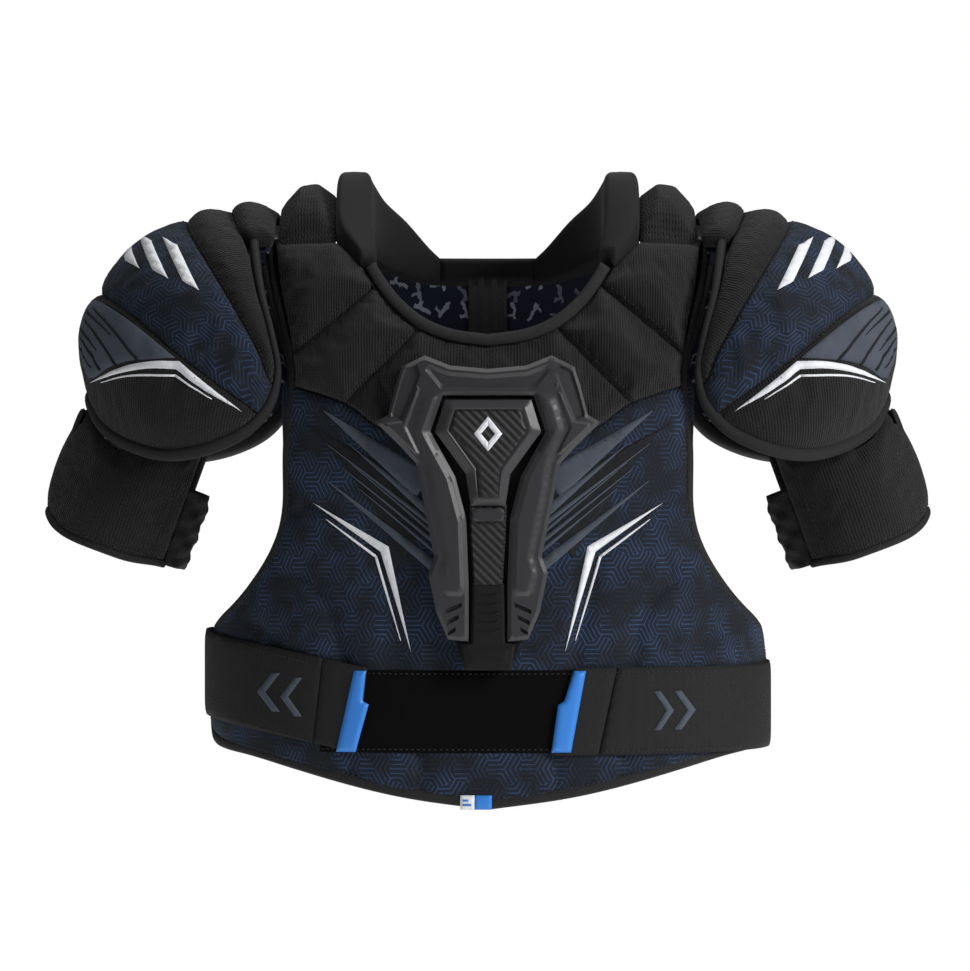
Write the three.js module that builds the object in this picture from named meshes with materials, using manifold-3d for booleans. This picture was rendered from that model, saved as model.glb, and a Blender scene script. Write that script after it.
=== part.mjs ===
// Ice hockey shoulder pads: a front vest and a back vest joined at the shoulders, an upright collar, two domed
// shoulder caps, two upper-arm guards and an elastic belly strap on each side that closes on a loop panel.
// Millimetres, +Z up, front towards -Y, the wearer's left towards +X. The origin is where the wearer's
// shoulders carry the pads: on the middle plane, between front and back, level with the shoulders.
import * as THREE from "three";
import { mergeVertices } from "three/addons/utils/BufferGeometryUtils.js";
import Module from "manifold-3d";

const wasm = await Module();
wasm.setup();

// ---- Driving dimensions ----

const GAP = 0.4; // sewn neighbours lie this far apart, so that no two solids overlap
const JOINT_GAP = 0.7; // room at a seam that turns

// The wearer's torso, as the vest's lining follows it.
const TORSO = {
  halfWidth: 182,
  frontDepth: 112,
  backDepth: 106,
  squareness: 2.4,
  shoulderTop: 18,
  shoulderDrop: 20,
  frontCurveStart: -130,
  backCurveStart: -70,
  bottom: -400,
};

// Layers, each [inner, outer] distance from the wearer. What lies on another layer starts from that one's
// outer distance.
const SEAT = 0.5; // room under a moulded piece
const over = (below, thickness, room = GAP) => [below[1] + room, below[1] + room + thickness];
const LINING = [0, 1.6];
const VEST_FOAM = over(LINING, 6);
const CHEST_PAD = over(LINING, 16);
const EDGE_BINDING = [-0.6, VEST_FOAM[1] + 1.4];
const NECK_BINDING = [-0.6, VEST_FOAM[1] + 6];
const BRIDGE_PAD = [0.5, 19];
const LOOP_PANEL = over(VEST_FOAM, 1.8, 0.6);
const STRAP = over(LOOP_PANEL, 2.6, 0.6);
const PULL_TAB = over(STRAP, 1.8);
const STERNUM_BASE = over(CHEST_PAD, 3, SEAT);
const STERNUM_FOAM = [VEST_FOAM[1] + GAP, STERNUM_BASE[0] - 1.1];
const STERNUM_FRAME = [STERNUM_BASE[1] - SEAT, STERNUM_BASE[1] + 5.5];
const STERNUM_SHIELD = over(STERNUM_BASE, 7, SEAT);
const STERNUM_CHANNEL = over(STERNUM_BASE, 2.5, SEAT);
const STERNUM_TONGUE = over(STERNUM_BASE, 3, SEAT);
const STERNUM_TONGUE_FOOT = [STERNUM_FOAM[1] + GAP, STERNUM_TONGUE[0] + 1];
const STERNUM_GROOVE = [STERNUM_FRAME[1] - 2.5, STERNUM_FRAME[1] + 3];
const SPINE_PAD = over(VEST_FOAM, 15.6);
const BLADE_PAD = over(VEST_FOAM, 11.6);
const LUMBAR_PAD = over(VEST_FOAM, 8.6);

const BINDING_WIDTH = 8;
const WAIST_HALF = TORSO.halfWidth + 12;
const BELLY_BAND = 55; // height of the loop panel
const STRAP_HEIGHT = 58;
const STRAP_MIDDLE = -324; // height of the straps' centreline at the front
const STRAP_REAR = 24; // y where each strap leaves its anchor on the back vest
const ANCHOR = { layer: [EDGE_BINDING[1] + GAP, STRAP[1]], length: 34 };
const LOOP_HALF_LENGTH = 112;
const BRIDGE_INNER = 103;
const BRIDGE_OUTER = 142.6;
const BRIDGE_FRONT_EDGE = -8;
const HEM_FRONT = -389;
const HEM_BACK = -350;

// How far from the middle each belly strap's end is fastened, and how much it climbs towards the side.
const STRAP_FIT = {
  left: { end: 56, climb: 0.0, lean: -14 },
  right: { end: 80, climb: 0.2, lean: 8 },
};
const TAB_LENGTH = 30;

// Shoulder cap: the outer surface is an ellipsoid whose lower half is drawn out downwards.
const CAP = {
  centre: [168, 0, -88],
  radii: [114, 112, 106],
  lowerRadius: 190,
};
// Depths below the cap's surface: padded outer, moulded plastic, lining.
const CAP_SHELL = [0, 8.6];
const CAP_INSERT = over(CAP_SHELL, 2.4);
const CAP_LINING = over(CAP_INSERT, 2.2);

// Upper-arm guard: a padded tube of oval section, open towards the body.
const GUARD = {
  foot: [261, 0, -221], // middle of its lower edge
  tilt: 20, // degrees outward from vertical
  length: 108,
  acrossRadius: 53,
  depthRadius: 48,
  openHalfAngle: 42, // degrees of the inner side that the strap closes
  strap: [1.5, 4],
  strapSpan: [6, 60],
  strapGap: 0.5, // degrees between the strap and the pad's edges
  hanger: [-2.6, -0.4],
  hangerSpan: [52, 110],
  hangerHalfAngle: 20,
  neckDepth: 8, // the hanger folds in under the cap's rim by this much
};
// Depths below the guard's surface.
const GUARD_PAD = [0, 6.6];
const GUARD_INSERT = over(GUARD_PAD, 1.6);
const GUARD_LINING = over(GUARD_INSERT, 1.4);

// ---- Outlines in the front view: [x, z] points of the left half, from the middle outwards ----

const NECKLINE = [[0, -73.5], [24, -70], [43, -62], [59, -48.5], [70, -34], [76, -24]];
const CAP_RIM = [
  [155, -6], [149, -42], [142, -70], [137, -98], [142, -122], [158, -141],
  [185, -154], [215, -159], [243, -153], [266, -140], [281, -119],
];
const RIM_CLEARANCE = 1.4;
const ARMHOLE_TOP = CAP_RIM.slice(0, 4).map(([x, z]) => [x - RIM_CLEARANCE - 1.2, z]);
const ARMHOLE = [[137, -150], [138, -190], [145, -215], [158, -237], [172, -254], [189, -269]];
const FRONT_HEM = [
  [WAIST_HALF, -292], [WAIST_HALF + 1, -335], [188, -349], [128, -364], [60, -381], [0, HEM_FRONT],
];
const BACK_HEM = [[WAIST_HALF, -292], [WAIST_HALF + 1, -338], [184, HEM_BACK], [0, HEM_BACK]];
const CHEST_LINE = [[150, -105.3], [95, -119], [72, -136], [50, -150], [0, -150]];
// The clavicle pad lies above the upper seam, the chest pad below it, and the centre pad below the lower seam.
const SEAM_UPPER = [[40, -10], [79.5, -43.5], [136, -91.5], [170, -120.4]];
const SEAM_LOWER = [[20, -50.4], [51.5, -79.2], [96, -119.9]];
const BACK_NECK = [[0, -23], [36, -23], [50, -21], [72, -15], [92, -10], [BRIDGE_INNER, BRIDGE_FRONT_EDGE]];
const RIB_INNER = [[176, 40], [176, 18], [163, -12], [155, -42], [149, -70], [146, -95], [140, -110]];
const RIB_OUTER = [[209, 40], [209, 8], [188, -26], [170, -55], [155, -82], [149, -100], [143, -118]];

// ---- Solids ----

function solidOf(geometry) {
  const bare = geometry.index ? geometry.toNonIndexed() : geometry.clone();
  bare.deleteAttribute("normal");
  bare.deleteAttribute("uv");
  const merged = mergeVertices(bare, 1e-3);
  return new wasm.Manifold(
    new wasm.Mesh({
      numProp: 3,
      vertProperties: merged.attributes.position.array,
      triVerts: new Uint32Array(merged.index.array),
    }),
  );
}

function geometryOf(solid) {
  const { vertProperties, triVerts } = solid.getMesh();
  const geometry = new THREE.BufferGeometry();
  geometry.setAttribute("position", new THREE.BufferAttribute(new Float32Array(vertProperties), 3));
  geometry.setIndex(new THREE.BufferAttribute(new Uint32Array(triVerts), 1));
  geometry.computeVertexNormals();
  return geometry;
}

// A closed solid through rings of points: neighbours along a ring and from ring to ring are joined.
function loft(rings) {
  const count = rings[0].length;
  const faces = [];
  for (let r = 0; r + 1 < rings.length; r++) {
    for (let i = 0; i < count; i++) {
      const a = r * count + i;
      const b = r * count + ((i + 1) % count);
      faces.push(a, b, b + count, a, b + count, a + count);
    }
  }
  const last = (rings.length - 1) * count;
  for (let i = 1; i + 1 < count; i++) {
    faces.push(0, i + 1, i);
    faces.push(last, last + i, last + i + 1);
  }
  const geometry = new THREE.BufferGeometry();
  geometry.setAttribute("position", new THREE.Float32BufferAttribute(rings.flat(2), 3));
  geometry.setIndex(faces);
  const solid = solidOf(geometry);
  if (solid.volume() > 0) return solid;
  for (let i = 0; i < faces.length; i += 3) [faces[i + 1], faces[i + 2]] = [faces[i + 2], faces[i + 1]];
  geometry.setIndex(faces);
  return solidOf(geometry);
}

const mirrorX = (points) => points.map(([x, ...rest]) => [-x, ...rest]);
const onSide = (side, points) => (side === "left" ? points : mirrorX(points));

// An outline in the front view, drawn through from y0 to y1.
function prism(outline, y0 = -260, y1 = 260) {
  const shape = new THREE.Shape(outline.map(([x, z]) => new THREE.Vector2(x, z)));
  const geometry = new THREE.ExtrudeGeometry(shape, { depth: y1 - y0, bevelEnabled: false });
  geometry.rotateX(Math.PI / 2); // the shape's y becomes z, and its depth runs towards -y
  geometry.translate(0, y1, 0);
  return solidOf(geometry);
}

function slab([x0, x1], [y0, y1], [z0, z1]) {
  const geometry = new THREE.BoxGeometry(x1 - x0, y1 - y0, z1 - z0);
  geometry.translate((x0 + x1) / 2, (y0 + y1) / 2, (z0 + z1) / 2);
  return solidOf(geometry);
}

// Each point of an open line moved sideways: to the right of the line's own direction for a positive distance.
function offsetLine(line, distance) {
  return line.map(([x, z], i) => {
    const [ax, az] = line[Math.max(i - 1, 0)];
    const [bx, bz] = line[Math.min(i + 1, line.length - 1)];
    const long = Math.hypot(bx - ax, bz - az);
    return [x + ((bz - az) / long) * distance, z - ((bx - ax) / long) * distance];
  });
}

const ribbon = (line, width) => [...line, ...offsetLine(line, width).reverse()];

// ---- The torso and its layers ----

const shoulderTopAt = (x) =>
  TORSO.shoulderTop - TORSO.shoulderDrop * Math.pow(Math.min(Math.abs(x) / TORSO.halfWidth, 1), 3.4);

const STATIONS = 15; // slices across the torso; odd, so that the middle facet faces straight ahead
const ARC_STEPS = 6; // steps from the upright part to the top of the shoulder

function torsoSlice(turn, offset) {
  const across = (TORSO.halfWidth + offset) * Math.sin(turn);
  const fullness = Math.pow(1 - Math.pow(Math.abs(Math.sin(turn)), TORSO.squareness), 1 / TORSO.squareness);
  const top = shoulderTopAt(across) + offset;
  const front = -(TORSO.frontDepth + offset) * fullness;
  const back = (TORSO.backDepth + offset) * fullness;
  const slice = [[across, front, TORSO.bottom]];
  for (let i = 0; i <= ARC_STEPS; i++) {
    const rise = ((i / ARC_STEPS) * Math.PI) / 2;
    const z = TORSO.frontCurveStart + (top - TORSO.frontCurveStart) * Math.sin(rise);
    slice.push([across, front * Math.cos(rise), z]);
  }
  for (let i = ARC_STEPS - 1; i >= 0; i--) {
    const rise = ((i / ARC_STEPS) * Math.PI) / 2;
    const z = TORSO.backCurveStart + (top - TORSO.backCurveStart) * Math.sin(rise);
    slice.push([across, back * Math.cos(rise), z]);
  }
  slice.push([across, back, TORSO.bottom]);
  return slice;
}

const torsoCache = new Map();
function torso(offset) {
  if (!torsoCache.has(offset)) {
    const rings = [];
    const widest = 0.485 * Math.PI;
    for (let i = 0; i <= STATIONS; i++) rings.push(torsoSlice(widest * ((2 * i) / STATIONS - 1), offset));
    torsoCache.set(offset, loft(rings));
  }
  return torsoCache.get(offset);
}

const layer = ([inner, outer]) => torso(outer).subtract(torso(inner));
const FRONT_EDGE_Y = -6; // the front vest stops this side of the middle
const BACK_EDGE_Y = 6;
const frontPiece = (outline, depths) => layer(depths).intersect(prism(outline, -260, FRONT_EDGE_Y));
const backPiece = (outline, depths) => layer(depths).intersect(prism(outline, BACK_EDGE_Y, 260));
const wholeOutline = (half) => [...half, ...mirrorX(half).reverse().filter(([x]) => x !== 0)];

// ---- The assembled object ----

const pads = new THREE.Group();
const FINISH = {
  black_knit: { color: 0x161617, roughness: 0.92, metalness: 0 },
  navy_print: { color: 0x141c30, roughness: 0.85, metalness: 0 },
  lining: { color: 0x1a2132, roughness: 0.9, metalness: 0 },
  binding: { color: 0x1c1b1c, roughness: 0.85, metalness: 0 },
  moulded: { color: 0x252527, roughness: 0.42, metalness: 0 },
  carbon: { color: 0x1b1b1d, roughness: 0.5, metalness: 0 },
  elastic: { color: 0x19191a, roughness: 0.9, metalness: 0 },
  loop: { color: 0x0b0b0c, roughness: 1, metalness: 0 },
  blue: { color: 0x2f7fd0, roughness: 0.45, metalness: 0 },
  insert: { color: 0x2b2c2e, roughness: 0.5, metalness: 0 },
};

const DUST = 1; // cubic millimetres

function add(name, solid, finish) {
  // Cuts along shared surfaces can leave dust of no volume beside the piece itself.
  const bodies = solid.decompose().sort((a, b) => b.volume() - a.volume());
  const split = bodies.slice(1).some((body) => Math.abs(body.volume()) > DUST);
  if (split) throw new Error(`${name} is in several pieces`);
  const mesh = new THREE.Mesh(geometryOf(bodies[0]), new THREE.MeshStandardMaterial(FINISH[finish]));
  mesh.name = name;
  pads.add(mesh);
}

// The garment's edges, left half, from the neck down to the middle of the hem.
const PAD_TOP = BRIDGE_FRONT_EDGE - JOINT_GAP;
const frontSide = [[ARMHOLE_TOP[0][0], PAD_TOP], ...ARMHOLE_TOP.slice(1), ...ARMHOLE];
const frontEdge = [...frontSide, ...FRONT_HEM];
const backEdge = [...frontSide, ...BACK_HEM];
const neckInside = offsetLine(NECKLINE, BINDING_WIDTH + GAP).map(([x, z], i) => (i === 0 ? [0, z] : [x, z]));
// Where the front vest meets the collar and the bridge.
const collarFoot = [BRIDGE_INNER, PAD_TOP];

function bindingInside(edge) {
  return offsetLine(edge, BINDING_WIDTH + GAP).map(([x, z], i) => {
    if (i === 0) return [x, edge[0][1]];
    return i === edge.length - 1 ? [0, z] : [x, z];
  });
}

function wholeRibbon(edge, width) {
  const inner = offsetLine(edge, width).map(([x, z], i) => {
    if (i === 0) return [x, edge[0][1]];
    return i === edge.length - 1 ? [0, z] : [x, z];
  });
  return [...edge, ...mirrorX(edge).reverse().slice(1), ...mirrorX(inner), ...inner.reverse().slice(1)];
}

// Front vest: lining, printed foam panel, quilted chest pads and bindings.
function frontVest() {
  const inside = bindingInside(frontEdge);
  const outline = [...neckInside, collarFoot, ...inside];
  add("front_lining", frontPiece(wholeOutline(outline), LINING), "lining");

  const below = [...offsetLine(CHEST_LINE, -GAP).reverse(), [210, CHEST_LINE[0][1]], [210, -420], [0, -420]];
  const inside2d = prism(wholeOutline(outline));
  add("front_panel", frontPiece(wholeOutline(below), VEST_FOAM).intersect(inside2d), "navy_print");

  // The quilted pads fill the field inside the bindings, down to the chest line.
  const above = [[0, 60], [210, 60], [210, CHEST_LINE[0][1]], ...offsetLine(CHEST_LINE, GAP)];
  const field = inside2d.intersect(prism(wholeOutline(above)));
  const quilted = (pad) => frontPiece(pad, CHEST_PAD).intersect(field);
  for (const side of ["left", "right"]) {
    const clavicle = [...offsetLine(SEAM_UPPER, -GAP), [170, 40], [40, 40]];
    add(`${side}_clavicle_pad`, quilted(onSide(side, clavicle)), "black_knit");
    const chest = [...offsetLine(SEAM_UPPER, GAP), [170, -150], ...offsetLine(SEAM_LOWER, -GAP).reverse()];
    add(`${side}_chest_pad`, quilted(onSide(side, chest)), "black_knit");
  }
  const centre = [[0, -30], ...offsetLine(SEAM_LOWER, GAP), [96, -160], [0, -160]];
  add("centre_chest_pad", quilted(wholeOutline(centre)), "black_knit");

  const neck = ribbon(NECKLINE, BINDING_WIDTH);
  neck[neck.length - 1] = [0, NECKLINE[0][1] - BINDING_WIDTH];
  add("neck_binding", frontPiece(wholeOutline(neck), NECK_BINDING), "binding");
  add("front_edge_binding", frontPiece(wholeRibbon(frontEdge, BINDING_WIDTH), EDGE_BINDING), "binding");
}

// Sternum guard: foam under a moulded frame that carries a shield, a channel strip and a lower tongue.
const PLATE_EDGE = [
  [0, -98], [25, -95.5], [43, -88.5], [57, -96], [66, -129], [74, -132], [48, -159], [44, -178],
  [35.5, -221], [39.5, -232], [34, -258], [26, -275], [12.6, -276.5],
];
const PLATE_OPENING = [[0, -114.5], [31, -114.5], [38, -139], [17.5, -168], [13.4, -190], [12.6, -276.5]];
const PLATE_WING_GROOVE = [
  [49, -97], [46, -116], [54, -136], [43, -158], [41.5, -158], [51, -136], [43.4, -116],
];
const SHIELD_EDGE = [[0, -116], [29.5, -116], [36, -139], [15.5, -169], [11.5, -189], [0, -189]];
const CHANNEL_HALF = 11.4;
const CHANNEL_SPAN = [-190, -240];
const TONGUE_EDGE = [[0, -241], [10.8, -241], [11.6, -277.5], [18, -279], [15.5, -296], [0, -296]];
const TONGUE_FOOT_EDGE = [[0, -277.5], [17, -279], [15, -296], [0, -296]];
const FOAM_EDGE = [
  [0, -151], [46, -151], [42, -178], [33, -221], [36, -232], [32, -258], [24, -273], [15, -294], [0, -294],
];
const VENTS = { count: 3, pitch: 8, top: -252, from: 18, to: 30, climb: 7, height: 3 };

function sternumGuard() {
  const plateOutline = wholeOutline([...PLATE_EDGE, [0, PLATE_EDGE.at(-1)[1]]]);
  const open = prism(wholeOutline([...PLATE_OPENING, [0, -290]]));
  const base = frontPiece(plateOutline, STERNUM_BASE);
  const frame = frontPiece(plateOutline, STERNUM_FRAME).subtract(open);
  let plate = base.add(frame);
  for (const side of ["left", "right"]) {
    plate = plate.subtract(frontPiece(onSide(side, PLATE_WING_GROOVE), STERNUM_GROOVE));
    for (let i = 0; i < VENTS.count; i++) {
      const { from, to, climb, height } = VENTS;
      const z = VENTS.top - i * VENTS.pitch;
      const vent = [[from, z], [to, z + climb], [to, z + climb - height], [from, z - height]];
      plate = plate.subtract(frontPiece(onSide(side, vent), STERNUM_GROOVE));
    }
  }
  add("sternum_plate", plate, "moulded");
  add("sternum_shield", frontPiece(wholeOutline(SHIELD_EDGE), STERNUM_SHIELD), "carbon");
  const [stripTop, stripBottom] = CHANNEL_SPAN;
  const strip = [[0, stripTop], [CHANNEL_HALF, stripTop], [CHANNEL_HALF, stripBottom], [0, stripBottom]];
  add("sternum_channel_strip", frontPiece(wholeOutline(strip), STERNUM_CHANNEL), "carbon");
  const tongue = frontPiece(wholeOutline(TONGUE_EDGE), STERNUM_TONGUE);
  const foot = frontPiece(wholeOutline(TONGUE_FOOT_EDGE), STERNUM_TONGUE_FOOT);
  add("sternum_tongue", tongue.add(foot), "moulded");
  add("sternum_foam", frontPiece(wholeOutline(FOAM_EDGE), STERNUM_FOAM), "black_knit");
}

// Back vest: two lining halves joined by a stretch gusset, printed foam panel, pads and binding.
const GUSSET_HALF = 14;
const SPINE_EDGE = [[0, -46], [26, -46], [34, -70], [30, -160], [27, -240], [20, -262], [0, -262]];
const BLADE_EDGE = [
  [38, -38], [70, -26], [104, -17], [136, -17], [134, -45], [126, -96], [124, -150], [104, -196], [62, -214],
  [33, -196], [38, -70],
];
const LUMBAR_EDGE = [[0, -272], [60, -268], [118, -276], [124, -300], [116, -336], [0, -340]];

function backVest() {
  const inside = bindingInside(backEdge);
  const neck = BACK_NECK.map(([x, z]) => [x, z - JOINT_GAP]);
  const panel = [...neck, ...inside];
  const inside2d = prism(wholeOutline(panel));
  add("back_panel", backPiece(wholeOutline(panel), VEST_FOAM), "navy_print");
  for (const side of ["left", "right"]) {
    const beside = slab([GUSSET_HALF + GAP, 260], [0, 260], [-420, 60]);
    const half = backPiece(wholeOutline(panel), LINING);
    const cut = side === "left" ? beside : beside.mirror([1, 0, 0]);
    add(`${side}_back_lining`, half.intersect(cut), "lining");
    add(`${side}_blade_pad`, backPiece(onSide(side, BLADE_EDGE), BLADE_PAD).intersect(inside2d), "black_knit");
  }
  const [gussetTop, gussetBottom] = [neck[0][1], inside.at(-1)[1]];
  const gusset = [[0, gussetTop], [GUSSET_HALF, gussetTop], [GUSSET_HALF, gussetBottom], [0, gussetBottom]];
  add("back_gusset", backPiece(wholeOutline(gusset), LINING), "elastic");
  add("spine_pad", backPiece(wholeOutline(SPINE_EDGE), SPINE_PAD), "black_knit");
  add("lumbar_pad", backPiece(wholeOutline(LUMBAR_EDGE), LUMBAR_PAD).intersect(inside2d), "black_knit");
  add("back_edge_binding", backPiece(wholeRibbon(backEdge, BINDING_WIDTH), EDGE_BINDING), "binding");
}

// Padded bridges over the shoulders, which join front, back, collar and caps.
function bridges() {
  for (const side of ["left", "right"]) {
    const over = [
      [BRIDGE_INNER, BRIDGE_FRONT_EDGE], [BRIDGE_OUTER, BRIDGE_FRONT_EDGE],
      [BRIDGE_OUTER, 60], [BRIDGE_INNER, 60],
    ];
    add(`${side}_bridge_pad`, layer(BRIDGE_PAD).intersect(prism(onSide(side, over))), "black_knit");
  }
}

const COLLAR_FRONT = TORSO.frontDepth - 35;
// Collar: an upright padded wall. Each station is [inner x, inner y, outer x, outer y, bottom, top].
const COLLAR_STATIONS = [
  [76, -COLLAR_FRONT, 84, -COLLAR_FRONT - 10, -23.3, -16],
  [79, -58, 98, -66, -11, 8],
  [80, -28, 101.5, -31, -4, 37],
  [80, 0, 102, 0, -2, 44],
  [78, 25, 100, 29, -4, 40],
  [70, 50, 88, 63, -6, 28],
  [56, 72, 70, 87, -11, 15],
  [42, 84, 50, 100, -19, -2],
  [34, 88, 37, 105, -22, -12],
];
const BACK_COLLAR_SPAN = [-22, -12];
const BACK_COLLAR = [[-33.6, 88.2], [0, 90], [33.6, 88.2]];

function wallRing([ix, iy, ox, oy, bottom, top]) {
  return [[ix, iy, bottom], [ox, oy, bottom], [ox, oy, top], [ix, iy, top]];
}

function collar() {
  for (const side of ["left", "right"]) {
    const rings = COLLAR_STATIONS.map((station) => onSide(side, wallRing(station)));
    add(`${side}_collar_pad`, loft(rings), "black_knit");
  }
  const rings = BACK_COLLAR.map(([x, y]) => wallRing([x, y, x * 1.08, y + 17, ...BACK_COLLAR_SPAN]));
  add("back_collar_pad", loft(rings), "black_knit");
}

// ---- Shoulder caps ----

const capCache = new Map();
function capSolid(depth) {
  if (!capCache.has(depth)) {
    const geometry = new THREE.SphereGeometry(1, 20, 12);
    const [rx, ry, rz] = CAP.radii.map((r) => r - depth);
    geometry.rotateX(Math.PI / 2);
    const at = geometry.attributes.position;
    for (let i = 0; i < at.count; i++) {
      const stretch = at.getZ(i) < 0 ? CAP.lowerRadius - depth : rz;
      at.setXYZ(i, CAP.centre[0] + at.getX(i) * rx, at.getY(i) * ry, CAP.centre[2] + at.getZ(i) * stretch);
    }
    capCache.set(depth, solidOf(geometry));
  }
  return capCache.get(depth);
}

const capLayer = ([near, far]) => capSolid(near).subtract(capSolid(far));
const CAP_INNER_X = BRIDGE_OUTER + JOINT_GAP;
const RIB_END_Z = -6; // the yoke rib stops here, front and back

function shoulderCaps() {
  const rim = [...CAP_RIM, [300, -95]];
  const field = [...rim, [300, 60], [CAP_INNER_X, 60], [CAP_INNER_X, CAP_RIM[0][1]]];
  const inset = offsetLine(rim, -BINDING_WIDTH + 1);
  const binding = prism([...rim, ...[...inset].reverse()]);
  const bindingRoom = prism([...offsetLine(rim, 2), ...offsetLine(rim, -BINDING_WIDTH + 1 - GAP).reverse()]);
  const domeSide = prism([...offsetLine(RIB_OUTER, -GAP), [330, -190], [330, 60]]);
  const ribField = prism([...offsetLine(RIB_OUTER, GAP), ...offsetLine(RIB_INNER, -GAP).reverse()]);
  const yokeField = slab([CAP_INNER_X, 180], [-260, 260], [RIB_END_Z, 60]).subtract(
    prism([...offsetLine(RIB_INNER, -GAP), [330, -190], [330, 60]]),
  );
  const whole = prism(field);
  const bindingSpan = slab([0, 330], [-260, 260], [-200, RIB_END_Z - GAP]);
  const rimTape = capLayer([-0.8, CAP_LINING[1] + 0.6]).intersect(binding).intersect(bindingSpan);
  const pieces = {
    cap_dome: [capLayer(CAP_SHELL).intersect(whole).subtract(bindingRoom).intersect(domeSide), "navy_print"],
    cap_rib: [capLayer(CAP_SHELL).intersect(whole).subtract(bindingRoom).intersect(ribField), "black_knit"],
    cap_yoke_rib: [capLayer([-3, CAP_SHELL[1]]).intersect(yokeField), "black_knit"],
    cap_binding: [rimTape, "binding"],
    cap_insert: [capLayer(CAP_INSERT).intersect(whole).subtract(bindingRoom), "insert"],
    cap_lining: [capLayer(CAP_LINING).intersect(whole).subtract(bindingRoom), "lining"],
  };
  for (const [name, [solid, finish]] of Object.entries(pieces)) {
    add(`left_${name}`, solid, finish);
    add(`right_${name}`, solid.mirror([1, 0, 0]), finish);
  }
}

// ---- Upper-arm guards ----

// A point of the guard: angle 0 faces outward, 90 faces the front; along runs up from the lower edge.
function guardPoint(angle, along, depth) {
  const turn = THREE.MathUtils.degToRad(GUARD.tilt);
  const a = THREE.MathUtils.degToRad(angle);
  const across = (GUARD.acrossRadius - depth) * Math.cos(a);
  const y = -(GUARD.depthRadius - depth) * Math.sin(a);
  const x = GUARD.foot[0] - along * Math.sin(turn) + across * Math.cos(turn);
  return [x, y, GUARD.foot[2] + along * Math.cos(turn) + across * Math.sin(turn)];
}

const GUARD_STEP = 12; // degrees between stations around the arm
const SWING_FROM = 7; // the first point of the rim that a guard passes as it swings out

function guardWall([near, far], [low, high], [from, to]) {
  const count = Math.ceil((to - from) / GUARD_STEP);
  const rings = [];
  for (let i = 0; i <= count; i++) {
    const angle = from + ((to - from) * i) / count;
    rings.push([
      guardPoint(angle, low, near), guardPoint(angle, high, near),
      guardPoint(angle, high, far), guardPoint(angle, low, far),
    ]);
  }
  return loft(rings);
}

function armGuards() {
  const openFrom = 180 - GUARD.openHalfAngle;
  const around = [-openFrom, openFrom];
  // The guard tucks under the cap, so it is cleared where the cap's wall passes and above the outer rim.
  const rimRoom = [...offsetLine(CAP_RIM, 3), [340, -119], [340, 80], [120, 80], [120, -6]];
  const capRoom = capSolid(-3).subtract(capSolid(CAP_LINING[1] + 2.2)).intersect(prism(rimRoom));
  const [rimX, rimZ] = CAP_RIM.at(-1);
  const padTop = rimZ - 8;
  // Nothing of the guard stands inside the outer part of the rim, so that it can swing out past it.
  const outerRim = offsetLine(CAP_RIM.slice(SWING_FROM), 3);
  const swingRoom = prism([...outerRim, [340, rimZ], [340, 0], [CAP_RIM[SWING_FROM][0], 0]]);
  const outerRoom = prism([[rimX - 5, padTop], [340, padTop], [340, 0], [rimX - 5, 0]]);
  const upperRoom = prism([[150, -92], [rimX - 5, rimZ - 3], [340, rimZ - 3], [340, 0], [150, 0]]);
  const clear = (solid) => {
    const cleared = solid.subtract(capRoom).subtract(outerRoom).subtract(upperRoom).subtract(swingRoom);
    return cleared.decompose().sort((a, b) => b.volume() - a.volume())[0];
  };
  const span = [0, GUARD.length];
  const hangerAngles = [-GUARD.hangerHalfAngle, GUARD.hangerHalfAngle];
  const underRim = prism([...offsetLine([...CAP_RIM.slice(-2), [300, -92]], GAP), [300, -220], [200, -220]]);
  const neckBand = prism([[200, padTop + GAP], [340, padTop + GAP], [340, 0], [200, 0]]);
  const neckDepths = [GUARD.hanger[0], GUARD.neckDepth];
  const neck = guardWall(neckDepths, GUARD.hangerSpan, hangerAngles).intersect(neckBand);
  const hanger = guardWall(GUARD.hanger, GUARD.hangerSpan, hangerAngles).add(neck).intersect(underRim);
  const strapAngles = [openFrom + GUARD.strapGap, 360 - openFrom - GUARD.strapGap];
  const insertSpan = [8, GUARD.length - 8];
  const insertAround = [around[0] + 8, around[1] - 8];
  const pieces = {
    guard_pad: [clear(guardWall(GUARD_PAD, span, around)), "black_knit"],
    guard_insert: [clear(guardWall(GUARD_INSERT, insertSpan, insertAround)), "insert"],
    guard_lining: [clear(guardWall(GUARD_LINING, [2, GUARD.length - 4], around)), "lining"],
    guard_hanger: [hanger, "elastic"],
    guard_strap: [guardWall(GUARD.strap, GUARD.strapSpan, strapAngles), "elastic"],
  };
  for (const [name, [solid, finish]] of Object.entries(pieces)) {
    add(`left_${name}`, solid, finish);
    add(`right_${name}`, solid.mirror([1, 0, 0]), finish);
  }
}

// ---- Belly straps and the panel that they close on ----

const loopTop = STRAP_MIDDLE + BELLY_BAND / 2;

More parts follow.
